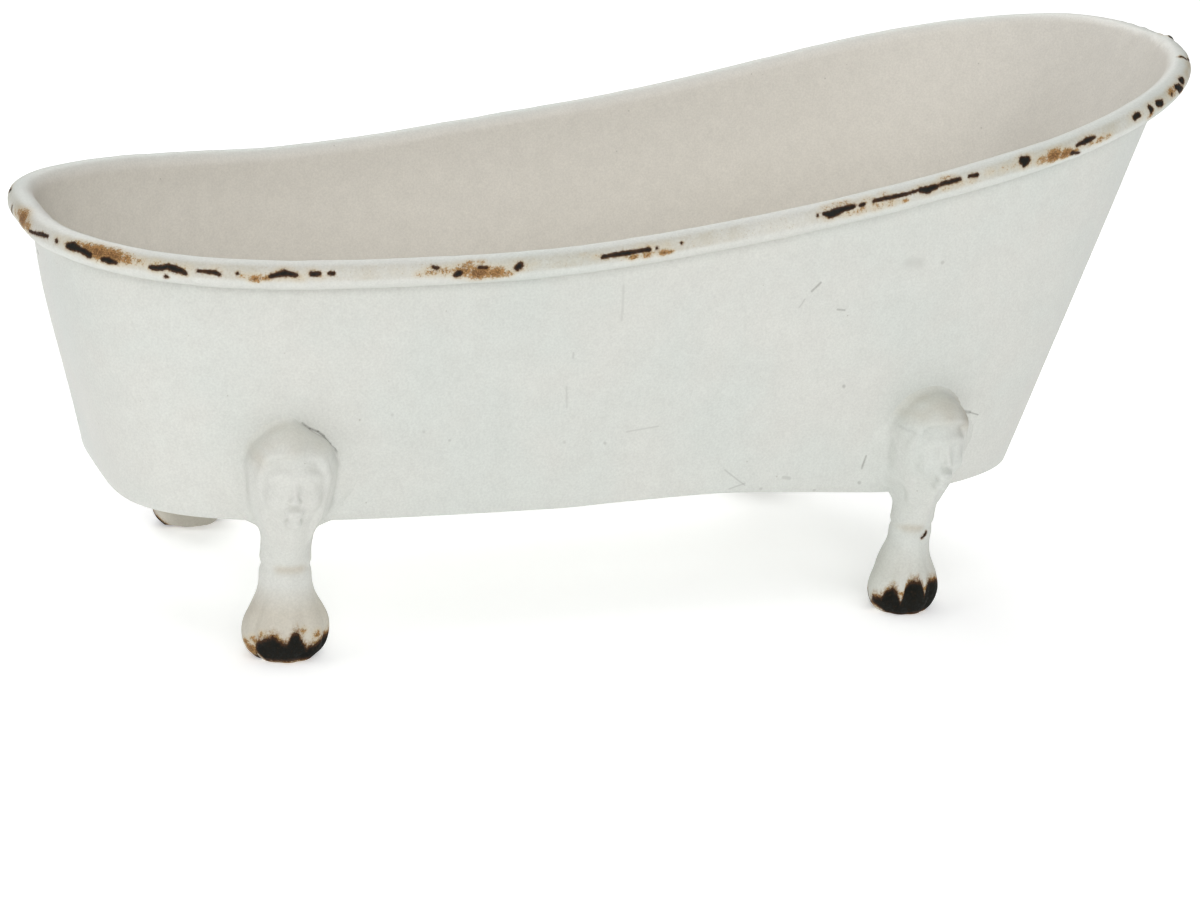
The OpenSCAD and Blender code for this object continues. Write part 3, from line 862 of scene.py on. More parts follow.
    # eye sockets, eyes and lids
    clay.egg((2.45, 11.9, 37.0), (1.75, 1.15, 1.05), k=0.8, cut=True, sym=True)
    clay.egg((2.45, 10.15, 36.95), (1.2, 1.0, 0.8), k=0.4, sym=True)
    clay.stroke([(1.35, 10.9, 37.0, 0.2), (2.5, 11.05, 37.55, 0.24), (3.7, 10.2, 36.95, 0.18)], k=0.35, sym=True)
    clay.stroke([(1.5, 10.85, 36.55, 0.14), (2.5, 10.95, 36.2, 0.16), (3.5, 10.2, 36.5, 0.12)], k=0.3, sym=True)
    # nose
    clay.stroke([(0, 10.9, 38.6, 0.5), (0, 11.7, 36.6, 0.5), (0, 12.35, 34.5, 0.66)], k=0.7)
    clay.egg((0, 12.3, 34.1), (0.85, 0.7, 0.7), k=0.5)
    clay.egg((0.85, 11.8, 33.9), (0.5, 0.6, 0.5), k=0.5, sym=True)
    # lips
    clay.egg((0, 11.2, 31.6), (1.9, 0.85, 1.2), k=0.9)
    clay.stroke([(0, 12.0, 32.05, 0.32), (0.8, 11.9, 32.05, 0.34), (1.75, 11.3, 31.8, 0.22)], k=0.3, sym=True)
    clay.stroke([(0, 11.95, 31.15, 0.42), (0.9, 11.75, 31.25, 0.38), (1.6, 11.3, 31.55, 0.2)], k=0.3, sym=True)
    clay.stroke([(0, 12.35, 31.65, 0.13), (0.9, 12.2, 31.68, 0.13), (1.95, 11.5, 31.66, 0.12)], k=0.2, cut=True, sym=True)
    # chin, cheeks and jaw
    clay.egg((0, 10.3, 29.3), (1.7, 1.3, 1.15), k=1.0)
    clay.egg((3.1, 9.2, 33.9), (1.9, 1.7, 2.1), k=1.4, sym=True)
    # hair that leaves the cap at the temples and falls in soft locks to the shoulders
    for lock in ([(5.2, 8.6, 40.4, 0.9), (6.0, 7.6, 37.6, 0.95), (5.5, 7.1, 34.6, 0.9), (4.9, 6.7, 31.6, 0.9),
                  (4.3, 6.0, 28.6, 0.8)],
                 [(6.4, 6.0, 39.8, 1.0), (6.8, 5.2, 36.6, 1.0), (6.1, 4.9, 33.2, 1.0), (5.4, 4.4, 29.8, 0.9)],
                 [(4.9, 6.6, 30.6, 0.8), (4.1, 6.0, 27.6, 0.85), (3.4, 5.0, 24.8, 0.6)]):
        clay.stroke(lock, k=0.75, sym=True)
    clay.stroke([(5.6, 6.4, 39.6, 1.3), (5.7, 6.0, 36.0, 1.5), (5.0, 5.6, 32.0, 1.4), (4.2, 5.0, 28.8, 1.1)], k=1.0, sym=True)
    clay.stroke([(4.4, 7.6, 38.8, 1.0), (4.5, 7.6, 35.5, 1.1), (4.0, 7.2, 32.0, 1.0)], k=0.9, sym=True)
    clay.stroke([(6.3, 3.4, 37.6, 1.9), (6.0, 3.2, 34.0, 2.0), (5.2, 2.8, 30.4, 1.9)], k=2.0, sym=True)
    # throat, running down into the shin with a soft leaf rib
    clay.stroke([(0, 6.6, 28.6, 2.6), (0, 4.6, 25.0, 2.9), (0, 3.4, 22.0, 2.6)], k=1.6)
    clay.stroke([(0, 8.6, 27.6, 0.55), (0, 7.1, 24.6, 0.55), (0, 5.6, 21.6, 0.3)], k=0.9)

    # --- shoulders that lie on the wall
    o, ex, n_out, _ = foot_frame(which)
    sl, x, y, z = clay.block((-14.4, -9.4, 22.0), (14.4, 15.6, 48.4))
    X2, Z2 = np.broadcast_arrays(x[:, :, 0], z[:, 0, :])
    yw = sum(cc * (X2 / 10) ** i * ((Z2 - 36) / 10) ** j for (i, j), cc in zip(terms, co))[:, None, :].astype(np.float32)
    w = y - yw
    ax = np.abs(X2)

    def disc2(cx, cz, r):
        return np.hypot(ax - cx, Z2 - cz) - r

    def arm2(p, q_):
        vx, vz = q_[0] - p[0], q_[1] - p[1]
        t = np.clip(((ax - p[0]) * vx + (Z2 - p[1]) * vz) / (vx * vx + vz * vz), 0, 1)
        return np.hypot(ax - p[0] - t * vx, Z2 - p[1] - t * vz) - (p[2] + t * (q_[2] - p[2]))

    def smin(a_, b_, k):
        hh_ = np.clip(0.5 + 0.5 * (b_ - a_) / k, 0, 1)
        return b_ * (1 - hh_) + a_ * hh_ - k * hh_ * (1 - hh_)

    plan = smin(disc2(8.6, 36.8, 4.6), arm2((8.2, 35.0, 4.9), (6.6, 30.4, 4.0)), 1.5)
    plan = smin(plan, arm2((5.8, 30.0, 3.8), (3.2, 26.6, 2.6)), 2.0)
    plan = smin(plan, arm2((0.0, 36.0, 6.0), (0.0, 28.0, 5.0)), 1.0)
    # paint fills the angle round the cap, apart from the open seam of the low one
    turn2 = np.degrees(np.arctan2(Z2 - 38.6, -X2))
    seam = np.clip((turn2 + 4) / 10, 0, 1) * np.clip((92 - turn2) / 12, 0, 1) if which == "low" else 0.0
    plan = smin(plan, np.hypot(X2, Z2 - 38.6) - (9.9 - 3.4 * seam), 0.6)
    plan = plan[:, None, :]
    f = np.clip(-plan / 3.4, 0, 1)
    thick = 0.85 * f * f * (3 - 2 * f) - 0.06
    slab = np.maximum(np.maximum((w - thick) * 0.9, -w - 0.9), plan)
    clay.put(sl, slab.astype(np.float32), 1.3)
    # the web that ties the leg to the underside of the shoulders
    clay.stroke([(0, 1.2, 26.4, 4.1), (3.0, 1.3, 28.4, 2.7), (5.8, 1.6, 30.8, 2.0)], k=1.2, sym=True)
    # --- trim to the tub: nothing above the floor's underside and inside the wall's outer face
    zf2 = (FLOOR_Z - 0.03 + edge_lift(o[0] + X2 * ex[0]))[:, None, :].astype(np.float32)
    tub = np.maximum(zf2 - z, w + 0.13)
    clay.d[sl] = np.maximum(clay.d[sl], -tub.astype(np.float32))
    d = clay.d
    d[0], d[-1] = 9, 9
    d[:, 0], d[:, -1] = 9, 9
    d[:, :, 0], d[:, :, -1] = 9, 9
    verts, faces = surface_nets(d, clay.lo, h)

    def off_wall(p):
        return p[:, 1] - sum(cc * (p[:, 0] / 10) ** i * ((p[:, 2] - 36) / 10) ** j for (i, j), cc in zip(terms, co))

    gap = off_wall(verts)
    hold = np.exp(-(gap / 0.45) ** 2) * (verts[:, 2] > 27)
    verts = relax(verts, faces, 4, 0.5)
    verts[:, 1] += hold * (gap - off_wall(verts))
    # thick paint has softened the mask most
    soft = relax(verts, faces, 46, 0.5)
    share = 0.25 + 0.53 * np.clip((verts[:, 2] - 24) / 4, 0, 1) * np.clip((42.5 - verts[:, 2]) / 3, 0, 1)
    share = share * np.clip((verts[:, 2] - 0.3) / 1.5, 0, 1) * np.where(verts[:, 2] > 27, np.clip((gap - 0.05) / 0.9, 0, 1), 1)
    verts = verts + share[:, None] * (soft - verts)
    verts[:, 2] = np.maximum(verts[:, 2], 0.0)
    gap = off_wall(verts)
    return verts, faces, gap


# Height up to which each paw is worn bare, round it from the front (degrees,
# positive toward the foot's own +x side), and the height where paint starts
# again near the ground
WORN = {
    "front_low": ([-180, -130, -100, -80, -59, -38, -28, -17, -12, -5, 1, 10, 20, 34, 44, 54, 70, 180],
                  [0.6, 2.4, 4.2, 4.8, 4.6, 3.9, 3.3, 5.5, 6.9, 6.5, 4.6, 5.0, 6.0, 5.0, 4.0, 0.8, 0.2, 0.3],
                  [-60, -54, -17, 7, 36, 41, 50], [-0.5, 0.3, 0.8, 0.6, 0.5, 1.4, 2.2]),
    "front_high": ([-180, -130, -100, -69, -58, -40, -20, -13, -9, -5, 0, 17, 24, 26, 29, 35, 43, 53, 59, 76, 82, 88, 94,
                    104, 112, 180],
                   [0.4, 1.6, 3.2, 5.6, 5.8, 7.0, 7.2, 6.6, 4.5, 6.6, 7.7, 7.6, 6.6, 4.6, 3.2, 5.5, 6.4, 5.5, 3.9, 3.5, 2.3,
                    1.0, 3.6, 4.2, 1.2, 0.3],
                   [-60, -35, 0, 25, 56, 64, 79, 90, 96], [-0.5, 0.5, 0.4, -0.1, 0.1, 1.2, 2.1, 1.6, -0.5]),
    "back_low": ([-180, -120, -96, -72, -56, -40, -22, -16, -2, 8, 18, 30, 42, 54, 70, 90, 130, 180],
                 [-3.0, -2.5, 2.6, 5.4, 3.2, 5.8, 6.4, 3.6, 6.6, 5.4, 3.4, 5.6, 4.6, 2.6, 3.8, 1.6, -2.5, -3.0],
                 [-50, -20, 20, 50], [-0.5, 0.5, 0.9, -0.5]),
    "back_high": ([-180, -140, -100, -78, -55, -42, -34, -18, -8, 2, 16, 26, 38, 52, 64, 80, 110, 180],
                  [0.3, 1.0, 2.2, 3.6, 2.6, 5.2, 5.6, 3.4, 5.6, 6.4, 3.2, 4.8, 5.8, 3.4, 4.6, 3.0, 1.0, 0.3],
                  [-60, -30, 10, 40], [-0.5, 0.6, 0.4, -0.5]),
}
# Extra small chips on the feet: (angle, height, radius) chains
FOOT_SPOTS = {
    "front_low": [],
    "front_high": [[(-3, 16.2, 0.20), (-11, 16.6, 0.38), (-18, 17.2, 0.35)]],
    "back_low": [[(40, 19.2, 0.45), (48, 18.6, 0.3)]],
    "back_high": [[(-20, 21.0, 0.3)], [(85, 12.0, 0.4), (80, 10.6, 0.25)]],
}
# Extra rust stains on the paws: (angle, height, radius, strength)
FOOT_RUST = {
    "front_low": [(58, 2.2, 1.5, 1.0), (66, 3.4, 1.1, 0.8), (50, 4.4, 1.2, 0.7), (-42, 5.8, 1.1, 0.8), (36, 6.0, 0.9, 0.6),
                  (-20, 6.9, 0.9, 0.7), (72, 1.2, 1.2, 0.9)],
    "front_high": [(58, 4.4, 0.8, 0.6), (28, 5.2, 0.7, 0.8), (-9, 6.0, 0.7, 0.8), (80, 1.0, 1.0, 0.5)],
    "back_low": [(45, 4.6, 1.0, 0.7), (-30, 6.0, 1.2, 0.8)],
    "back_high": [(10, 6.0, 1.2, 0.8), (-60, 4.6, 1.2, 0.7)],
}


def build_foot(side, which, shape):
    verts, faces, gap = shape
    name = f"{side}_{which}"
    o, ex, n, _ = foot_frame(which)
    x, y, z = verts.T
    wx, wy = np.interp(z, PAW_Z, PAW_X[which]), np.interp(z, PAW_Z, PAW_Y[which])
    cx, c = np.interp(z, PAW_Z, LEG_X[which]), np.interp(z, PAW_Z, LEG_Y)
    ang = np.degrees(np.arctan2((x - cx) / wx, (y - c) / wy))
    top_a, top_z, low_a, low_z = WORN[name]
    top = np.interp(ang, top_a, top_z)
    low = np.interp(ang, low_a, low_z, left=-0.5, right=-0.5)
    chip = np.maximum((z - top) * 0.8, (low - z) * 0.9)
    pad = np.hypot(x, y * 1.2) - 3.6 + np.where(z > 0.25, 9, 0)
    chip = np.minimum(chip, pad)
    spot = np.full(len(z), 9.0)
    for chain in FOOT_SPOTS[name]:
        pts = [(math.radians(p[0]) * 5.5, p[1], p[2]) for p in chain]
        if len(pts) == 1:
            pts = pts * 2
        u, t = np.radians(ang) * 5.5, z
        for p, q in zip(pts[:-1], pts[1:]):
            vx, vy = q[0] - p[0], q[1] - p[1]
            f = np.clip(((u - p[0]) * vx + (t - p[1]) * vy) / max(vx * vx + vy * vy, 1e-9), 0, 1)
            d = np.hypot(u - p[0] - f * vx, t - p[1] - f * vy) - (p[2] + f * (q[2] - p[2]))
            d = np.where(z < 22, d, 9)
            spot = np.minimum(spot, np.where(d > 0, 3.2 * d, 1.6 * d))
    # rust that creeps out from under the worn edge
    rust = 0.80 * np.exp(-(np.maximum(chip, 0) / 0.75) ** 2) * np.clip(0.75 + 0.6 * noise3(verts, 1.5, 15), 0.15, 1.15)
    for ra, rz, rr, rs in FOOT_RUST[name]:
        du, dv = np.radians(ang - ra) * 7.0, z - rz
        rust = np.maximum(rust, rs * np.exp(-(du * du + dv * dv) / rr ** 2))
    rust = rust * (z < 22)
    chip = np.clip(np.minimum(chip, spot), -3, 9)
    groove = hollows(verts, faces)
    groove = groove * (1 - 0.55 * np.clip((z - 22) / 3, 0, 1))
    # darker paint toward the top of the cap and toward the paw, and painted shade along the groove under the cuff at
    # the ankle
    cap = np.clip((z - 41.0) / 2.5, 0, 1) * np.clip((y - 1.0) / 4, 0, 1)
    cap = cap * (0.6 + 0.4 * noise3(verts, 2.4, 11 if side == "front" else 12)) * (0.52 if which == "low" else 0.85)
    paw = np.clip((15.0 - z) / 5, 0, 1) * (1.0 if which == "low" else 0.35)
    mid, half = (-0.3, 3.6) if which == "low" else (1.3, 2.9)
    # painted shade: the groove under the cuff is darkened like the shadow the cuff casts
    ankle = np.exp(-((z - 18.3) / 0.9) ** 2) * np.clip((half - np.abs(x - mid)) / 1.5, 0, 1) * np.clip(y / 2, 0, 1)
    tint_and_painted_shade = np.maximum(np.maximum(cap, paw), 0.9 * ankle)
    # painted shadow: a dark line in the gap where the casting stands off the wall beside the cap
    x_cap = x if side == "front" else -x
    turn = np.degrees(np.arctan2(z - 38.6, -x_cap))
    near = np.exp(-(gap / 0.42) ** 2) * np.clip((turn - 6) / 10, 0, 1) * np.clip((80 - turn) / 14, 0, 1)
    near = near * (0.6 + 0.3 * noise3(verts, 1.3, 14)) * np.clip((8.9 - np.hypot(x, z - 38.6)) / 0.5, 0, 1)
    # painted shade: a soft brownish shadow smudge beside the top of the cap, added to the darkening and to the
    # near-black seam colour
    if which == "high":
        near = 0.5 * near
        cap_shadow_smudge = np.exp(-((x_cap + 6.0) / 2.6) ** 2 - ((z - 42.6) / 2.6) ** 2) * np.clip(y / 2, 0, 1)
        near = np.maximum(near, 0.20 * cap_shadow_smudge * (0.7 + 0.3 * noise3(verts, 0.9, 13)))
        tint_and_painted_shade = np.maximum(tint_and_painted_shade, cap_shadow_smudge)
    else:
        cap_shadow_smudge = 0.6 * np.exp(-((x_cap - 6.6) / 1.6) ** 2 - ((z - 41.2) / 2.0) ** 2) * np.clip(y / 2, 0, 1)
        near = np.maximum(near, 0.03 * cap_shadow_smudge)
        tint_and_painted_shade = np.maximum(tint_and_painted_shade, cap_shadow_smudge)
    # a faint darker line along the top of the shoulders, and painted shade under the heel
    arc = np.exp(-((np.hypot(np.abs(x) - 8.6, z - 36.8) - 4.0) / 0.4) ** 2) * np.clip((z - 39.6) / 0.8, 0, 1)
    near = np.maximum(near, 0.10 * arc * np.clip(0.6 + noise3(verts, 2.2, 16), 0, 1))
    near = np.maximum(near, 0.16 * np.clip((-y - 1.5) / 2, 0, 1) * np.clip((9 - z) / 4, 0, 1))
    W = o + verts[:, [0]] * ex + verts[:, [1]] * n + verts[:, [2]] * UP
    F = faces
    flip = np.dot(np.cross(ex, n), UP) < 0
    if side == "back":
        W = W * np.array([1, -1, 1])
        flip = not flip
    if flip:
        F = F[:, ::-1]
    ob = mesh_object(f"claw_foot_{name}_casting", W, [F], attributes={
        "chip": chip, "rust": rust, "inside": np.zeros(len(W)), "groove": groove, "tint_and_painted_shade": tint_and_painted_shade,
        "seam": near})
    return ob


# ---------------------------------------------------------------------------
# Screws and washers inside the tub
# ---------------------------------------------------------------------------
def screw_frames():
    out = []
    for which in ("low", "high"):
        _, _, _, a0 = foot_frame(which)
        a = np.array([a0])
        k = Around(a)
        top = k.roll(HOLLOW_R, math.pi - k.lean)[0][0, 2]
        v = (SCREW_Z - FLOOR_Z) / (top - FLOOR_Z)
        p = k.wall(np.array([v]))[0]
        along = (Around(a + 0.01).wall(np.array([v])) - Around(a - 0.01).wall(np.array([v])))[0]
        up = (k.wall(np.array([v + 0.05])) - k.wall(np.array([v - 0.05])))[0]
        inward = unit(np.cross(up, along))
        side = unit(along)
        out.append((p, side, np.cross(inward, side), inward))
    return out


def screw_shape(turn):
    h = 0.09
    clay = Clay((-3.3, -3.3, -5.2), (3.3, 3.3, 3.9), h)
    x, y, z = clay.ax[0][:, None, None], clay.ax[1][None, :, None], clay.ax[2][None, None, :]
    rr = np.hypot(x, y)
    head_z0, head_z1 = SHEET + 0.8, SHEET + 2.7
    # low domed head with a soft edge
    dome = np.sqrt(x ** 2 + y ** 2 + (z - (head_z1 - 4.3)) ** 2) - 4.3
    head = np.maximum(np.maximum(rr - 2.75, head_z0 - z), dome)
    shank = np.maximum(rr - 1.5 - 0.05 * np.sin(z * 2 * math.pi / 0.5), np.maximum(-4.9 - z, z - head_z0 - 0.3))
    d = np.minimum(head, shank)
    ct, st = math.cos(turn), math.sin(turn)
    slot = np.maximum(np.abs(x * ct + y * st) - 0.38, (head_z1 - 0.85) - z)
    d = np.maximum(d, -slot)
    d = np.broadcast_to(d, clay.n).astype(np.float32).copy()
    v, f = surface_nets(d, clay.lo, h)
    return relax(v, f, 2, 0.4), f


def washer_shape():
    n, m = 72, 20
    a = np.linspace(0, 2 * math.pi, n, endpoint=False)
    ro, ri, z0, z1, c = 3.5, 1.62, SHEET + 0.2, SHEET + 0.75, 0.14
    prof = []
    for (r, z) in ((ri, z0 + c), (ri + c, z0), ((ri + ro) / 2, z0), (ro - c, z0), (ro, z0 + c), (ro, z1 - c), (ro - c, z1),
                   ((ri + ro) / 2, z1), (ri + c, z1), (ri, z1 - c)):
        prof.append((r, z))
    P = np.array([[(r * math.cos(t), r * math.sin(t), z) for r, z in prof] for t in a])
    return P.reshape(-1, 3), grid_faces(n, len(prof))


def build_fasteners():
    sv, sf, wv, wf, stain_s = [], [], [], [], []
    n_s = n_w = 0
    turns = iter((0.5, -0.9, 1.3, 0.1))
    wshape = washer_shape()
    for p, side, other, inward in screw_frames():
        for flip in (1, -1):
            v, f = screw_shape(next(turns))
            B = np.stack([side, other, inward])
            W = p + v @ B
            V2 = p + wshape[0] @ B
            handed = np.dot(np.cross(side, other), inward) > 0
            if flip < 0:
                W, V2 = W * np.array([1, -1, 1]), V2 * np.array([1, -1, 1])
                handed = not handed
            f2 = wshape[1]
            sv.append(W)
            sf.append((f if handed else f[:, ::-1]) + n_s)
            wv.append(V2)
            wf.append((f2 if handed else f2[:, ::-1]) + n_w)
            n_s += len(W)
            n_w += len(V2)
    screws = mesh_object("foot_screws_slotted", np.vstack(sv), [np.vstack(sf)])
    washers = mesh_object("foot_washers_flat", np.vstack(wv), [np.vstack(wf)])
    return screws, washers


# ---------------------------------------------------------------------------
# Materials
# ---------------------------------------------------------------------------
class Nodes:
    """Small helper for wiring a material."""

    def __init__(self, name):
        self.mat = bpy.data.materials.new(name)
        self.mat.use_nodes = True
        self.t = self.mat.node_tree
        self.t.nodes.clear()
        self.out = self.t.nodes.new("ShaderNodeOutputMaterial")
        self.bsdf = self.t.nodes.new("ShaderNodeBsdfPrincipled")
        self.t.links.new(self.bsdf.outputs[0], self.out.inputs[0])

    def link(self, a, b):
        self.t.links.new(a, b)

    def set(self, node, key, value):
        if isinstance(value, bpy.types.NodeSocket):
            self.link(value, node.inputs[key])
        else:
            node.inputs[key].default_value = value

    def coords(self):
        n = self.t.nodes.new("ShaderNodeTexCoord")
        v = self.t.nodes.new("ShaderNodeVectorMath")
        v.operation = "SCALE"
        v.inputs[3].default_value = 1000.0
        self.link(n.outputs["Object"], v.inputs[0])
        return v.outputs[0]

    def attr(self, name):
        n = self.t.nodes.new("ShaderNodeAttribute")
        n.attribute_name = name
        return n.outputs["Fac"]

    def noise(self, vec, scale, detail=3.0, rough=0.55, distort=0.0):
        n = self.t.nodes.new("ShaderNodeTexNoise")
        self.link(vec, n.inputs["Vector"])
        n.inputs["Scale"].default_value = scale
        n.inputs["Detail"].default_value = detail
        n.inputs["Roughness"].default_value = rough
        n.inputs["Distortion"].default_value = distort
        return n.outputs["Fac"]

    def voronoi(self, vec, scale, randomness=1.0):
        n = self.t.nodes.new("ShaderNodeTexVoronoi")
        self.link(vec, n.inputs["Vector"])
        n.inputs["Scale"].default_value = scale
        n.inputs["Randomness"].default_value = randomness
        return n.outputs["Distance"], n.outputs["Color"]

    def math(self, op, a, b=0.0, c=0.0, clamp=False):
        n = self.t.nodes.new("ShaderNodeMath")
        n.operation = op
        n.use_clamp = clamp
        for i, v in enumerate((a, b, c)):
            if isinstance(v, bpy.types.NodeSocket):
                self.link(v, n.inputs[i])
            elif i < len(n.inputs):
                n.inputs[i].default_value = v
        return n.outputs[0]

    def ramp(self, x, a, b, lo=0.0, hi=1.0, smooth=True):
        """x from a to b becomes lo to hi."""
        n = self.t.nodes.new("ShaderNodeMapRange")
        n.interpolation_type = "SMOOTHSTEP" if smooth else "LINEAR"
        n.inputs["From Min"].default_value = a
        n.inputs["From Max"].default_value = b
        n.inputs["To Min"].default_value = lo
        n.inputs["To Max"].default_value = hi
        self.link(x, n.inputs["Value"])
        return n.outputs["Result"]

    def mix(self, f, a, b, blend="MIX"):
        n = self.t.nodes.new("ShaderNodeMix")
        n.data_type = "RGBA"
        n.blend_type = blend
        n.clamp_factor = True
        self.set(n, 0, f)
        for i, v in ((6, a), (7, b)):
            if isinstance(v, bpy.types.NodeSocket):
                self.link(v, n.inputs[i])
            else:
                n.inputs[i].default_value = (*v, 1.0)
        return n.outputs[2]

    def bump(self, height, strength, distance, normal=None):
        n = self.t.nodes.new("ShaderNodeBump")
        n.inputs["Strength"].default_value = strength
        n.inputs["Distance"].default_value = distance
        self.link(height, n.inputs["Height"])
        if normal is not None:
            self.link(normal, n.inputs["Normal"])
        return n.outputs["Normal"]


PAINT = (0.665, 0.668, 0.625)
PAINT_COOL = (0.640, 0.662, 0.622)
PAINT_IN = (0.735, 0.708, 0.650)


def segment_mask(m, vec, a, b, r, soft=0.08, wobble=None):
    """A fine line from a to b (x, z in mm) on the tub's front, 1 on the line."""
    sep = m.t.nodes.new("ShaderNodeSeparateXYZ")
    m.link(vec, sep.inputs[0])
    x, y, z = sep.outputs
    if wobble is not None:
        x = m.math("ADD", x, wobble)
    vx, vz = b[0] - a[0], b[1] - a[1]
    L = max(vx * vx + vz * vz, 1e-6)
    px, pz = m.math("SUBTRACT", x, a[0]), m.math("SUBTRACT", z, a[1])
    t = m.math("ADD", m.math("MULTIPLY", px, vx / L), m.math("MULTIPLY", pz, vz / L), clamp=True)
    dx = m.math("SUBTRACT", px, m.math("MULTIPLY", t, vx))
    dz = m.math("SUBTRACT", pz, m.math("MULTIPLY", t, vz))
    d = m.math("SQRT", m.math("ADD", m.math("MULTIPLY", dx, dx), m.math("MULTIPLY", dz, dz)))
    line = m.ramp(d, r * 1.35 + soft, max(r * 0.6 - soft, 0.0))
    front = m.ramp(y, -0.5, -2.5)
    return m.math("MULTIPLY", line, front)


# Marks on the front of the wall: (from x, z, to x, z, half width, darkness)
WALL_MARKS = [
    (20.1, 66.4, 21.0, 68.0, 0.16, 0.28), (22.2, 69.6, 23.8, 71.3, 0.22, 0.55),
    (28.3, 65.6, 29.9, 65.4, 0.18, 0.50), (32.4, 49.3, 32.5, 49.2, 0.34, 0.45),
    (40.1, 33.7, 39.7, 31.0, 0.20, 0.55), (39.6, 27.9, 39.7, 27.8, 0.34, 0.45),
    (22.6, 30.2, 24.0, 29.9, 0.34, 0.28), (9.8, 32.6, 14.5, 29.0, 0.14, 0.30),
    (14.5, 29.4, 11.3, 28.4, 0.14, 0.30), (-16.4, 72.0, -16.0, 65.2, 0.26, 0.16),
    (-24.8, 58.9, -24.7, 58.0, 0.22, 0.24), (-25.4, 52.1, -24.8, 47.9, 0.18, 0.18),
    (-16.1, 39.9, -16.0, 39.8, 0.28, 0.28), (-11.9, 42.0, -5.5, 42.8, 0.16, 0.22),
    (-24.5, 40.6, -24.4, 40.5, 0.30, 0.22), (18.0, 28.0, 18.2, 28.0, 0.26, 0.30),
    (29.7, 26.9, 29.9, 26.9, 0.26, 0.30), (42.1, 74.6, 45.0, 74.3, 0.75, 0.15),
    (49.9, 74.1, 50.0, 74.1, 0.38, 0.30), (-47.2, 42.1, -47.1, 42.1, 0.26, 0.28),
    (-52.3, 44.1, -52.2, 44.0, 0.24, 0.24), (-58.6, 47.7, -58.5, 47.7, 0.24, 0.24),
    (-75.0, 46.3, -73.6, 45.2, 0.18, 0.62), (-73.6, 45.2, -72.0, 44.6, 0.20, 0.72),
    (-72.0, 44.6, -70.9, 43.7, 0.20, 0.74), (-70.9, 43.7, -69.7, 42.1, 0.20, 0.70),
    (-69.7, 42.1, -68.9, 40.8, 0.18, 0.55), (61.4, 41.4, 63.2, 41.0, 0.34, 0.55),
    (63.2, 41.0, 65.6, 40.1, 0.14, 0.60),
]


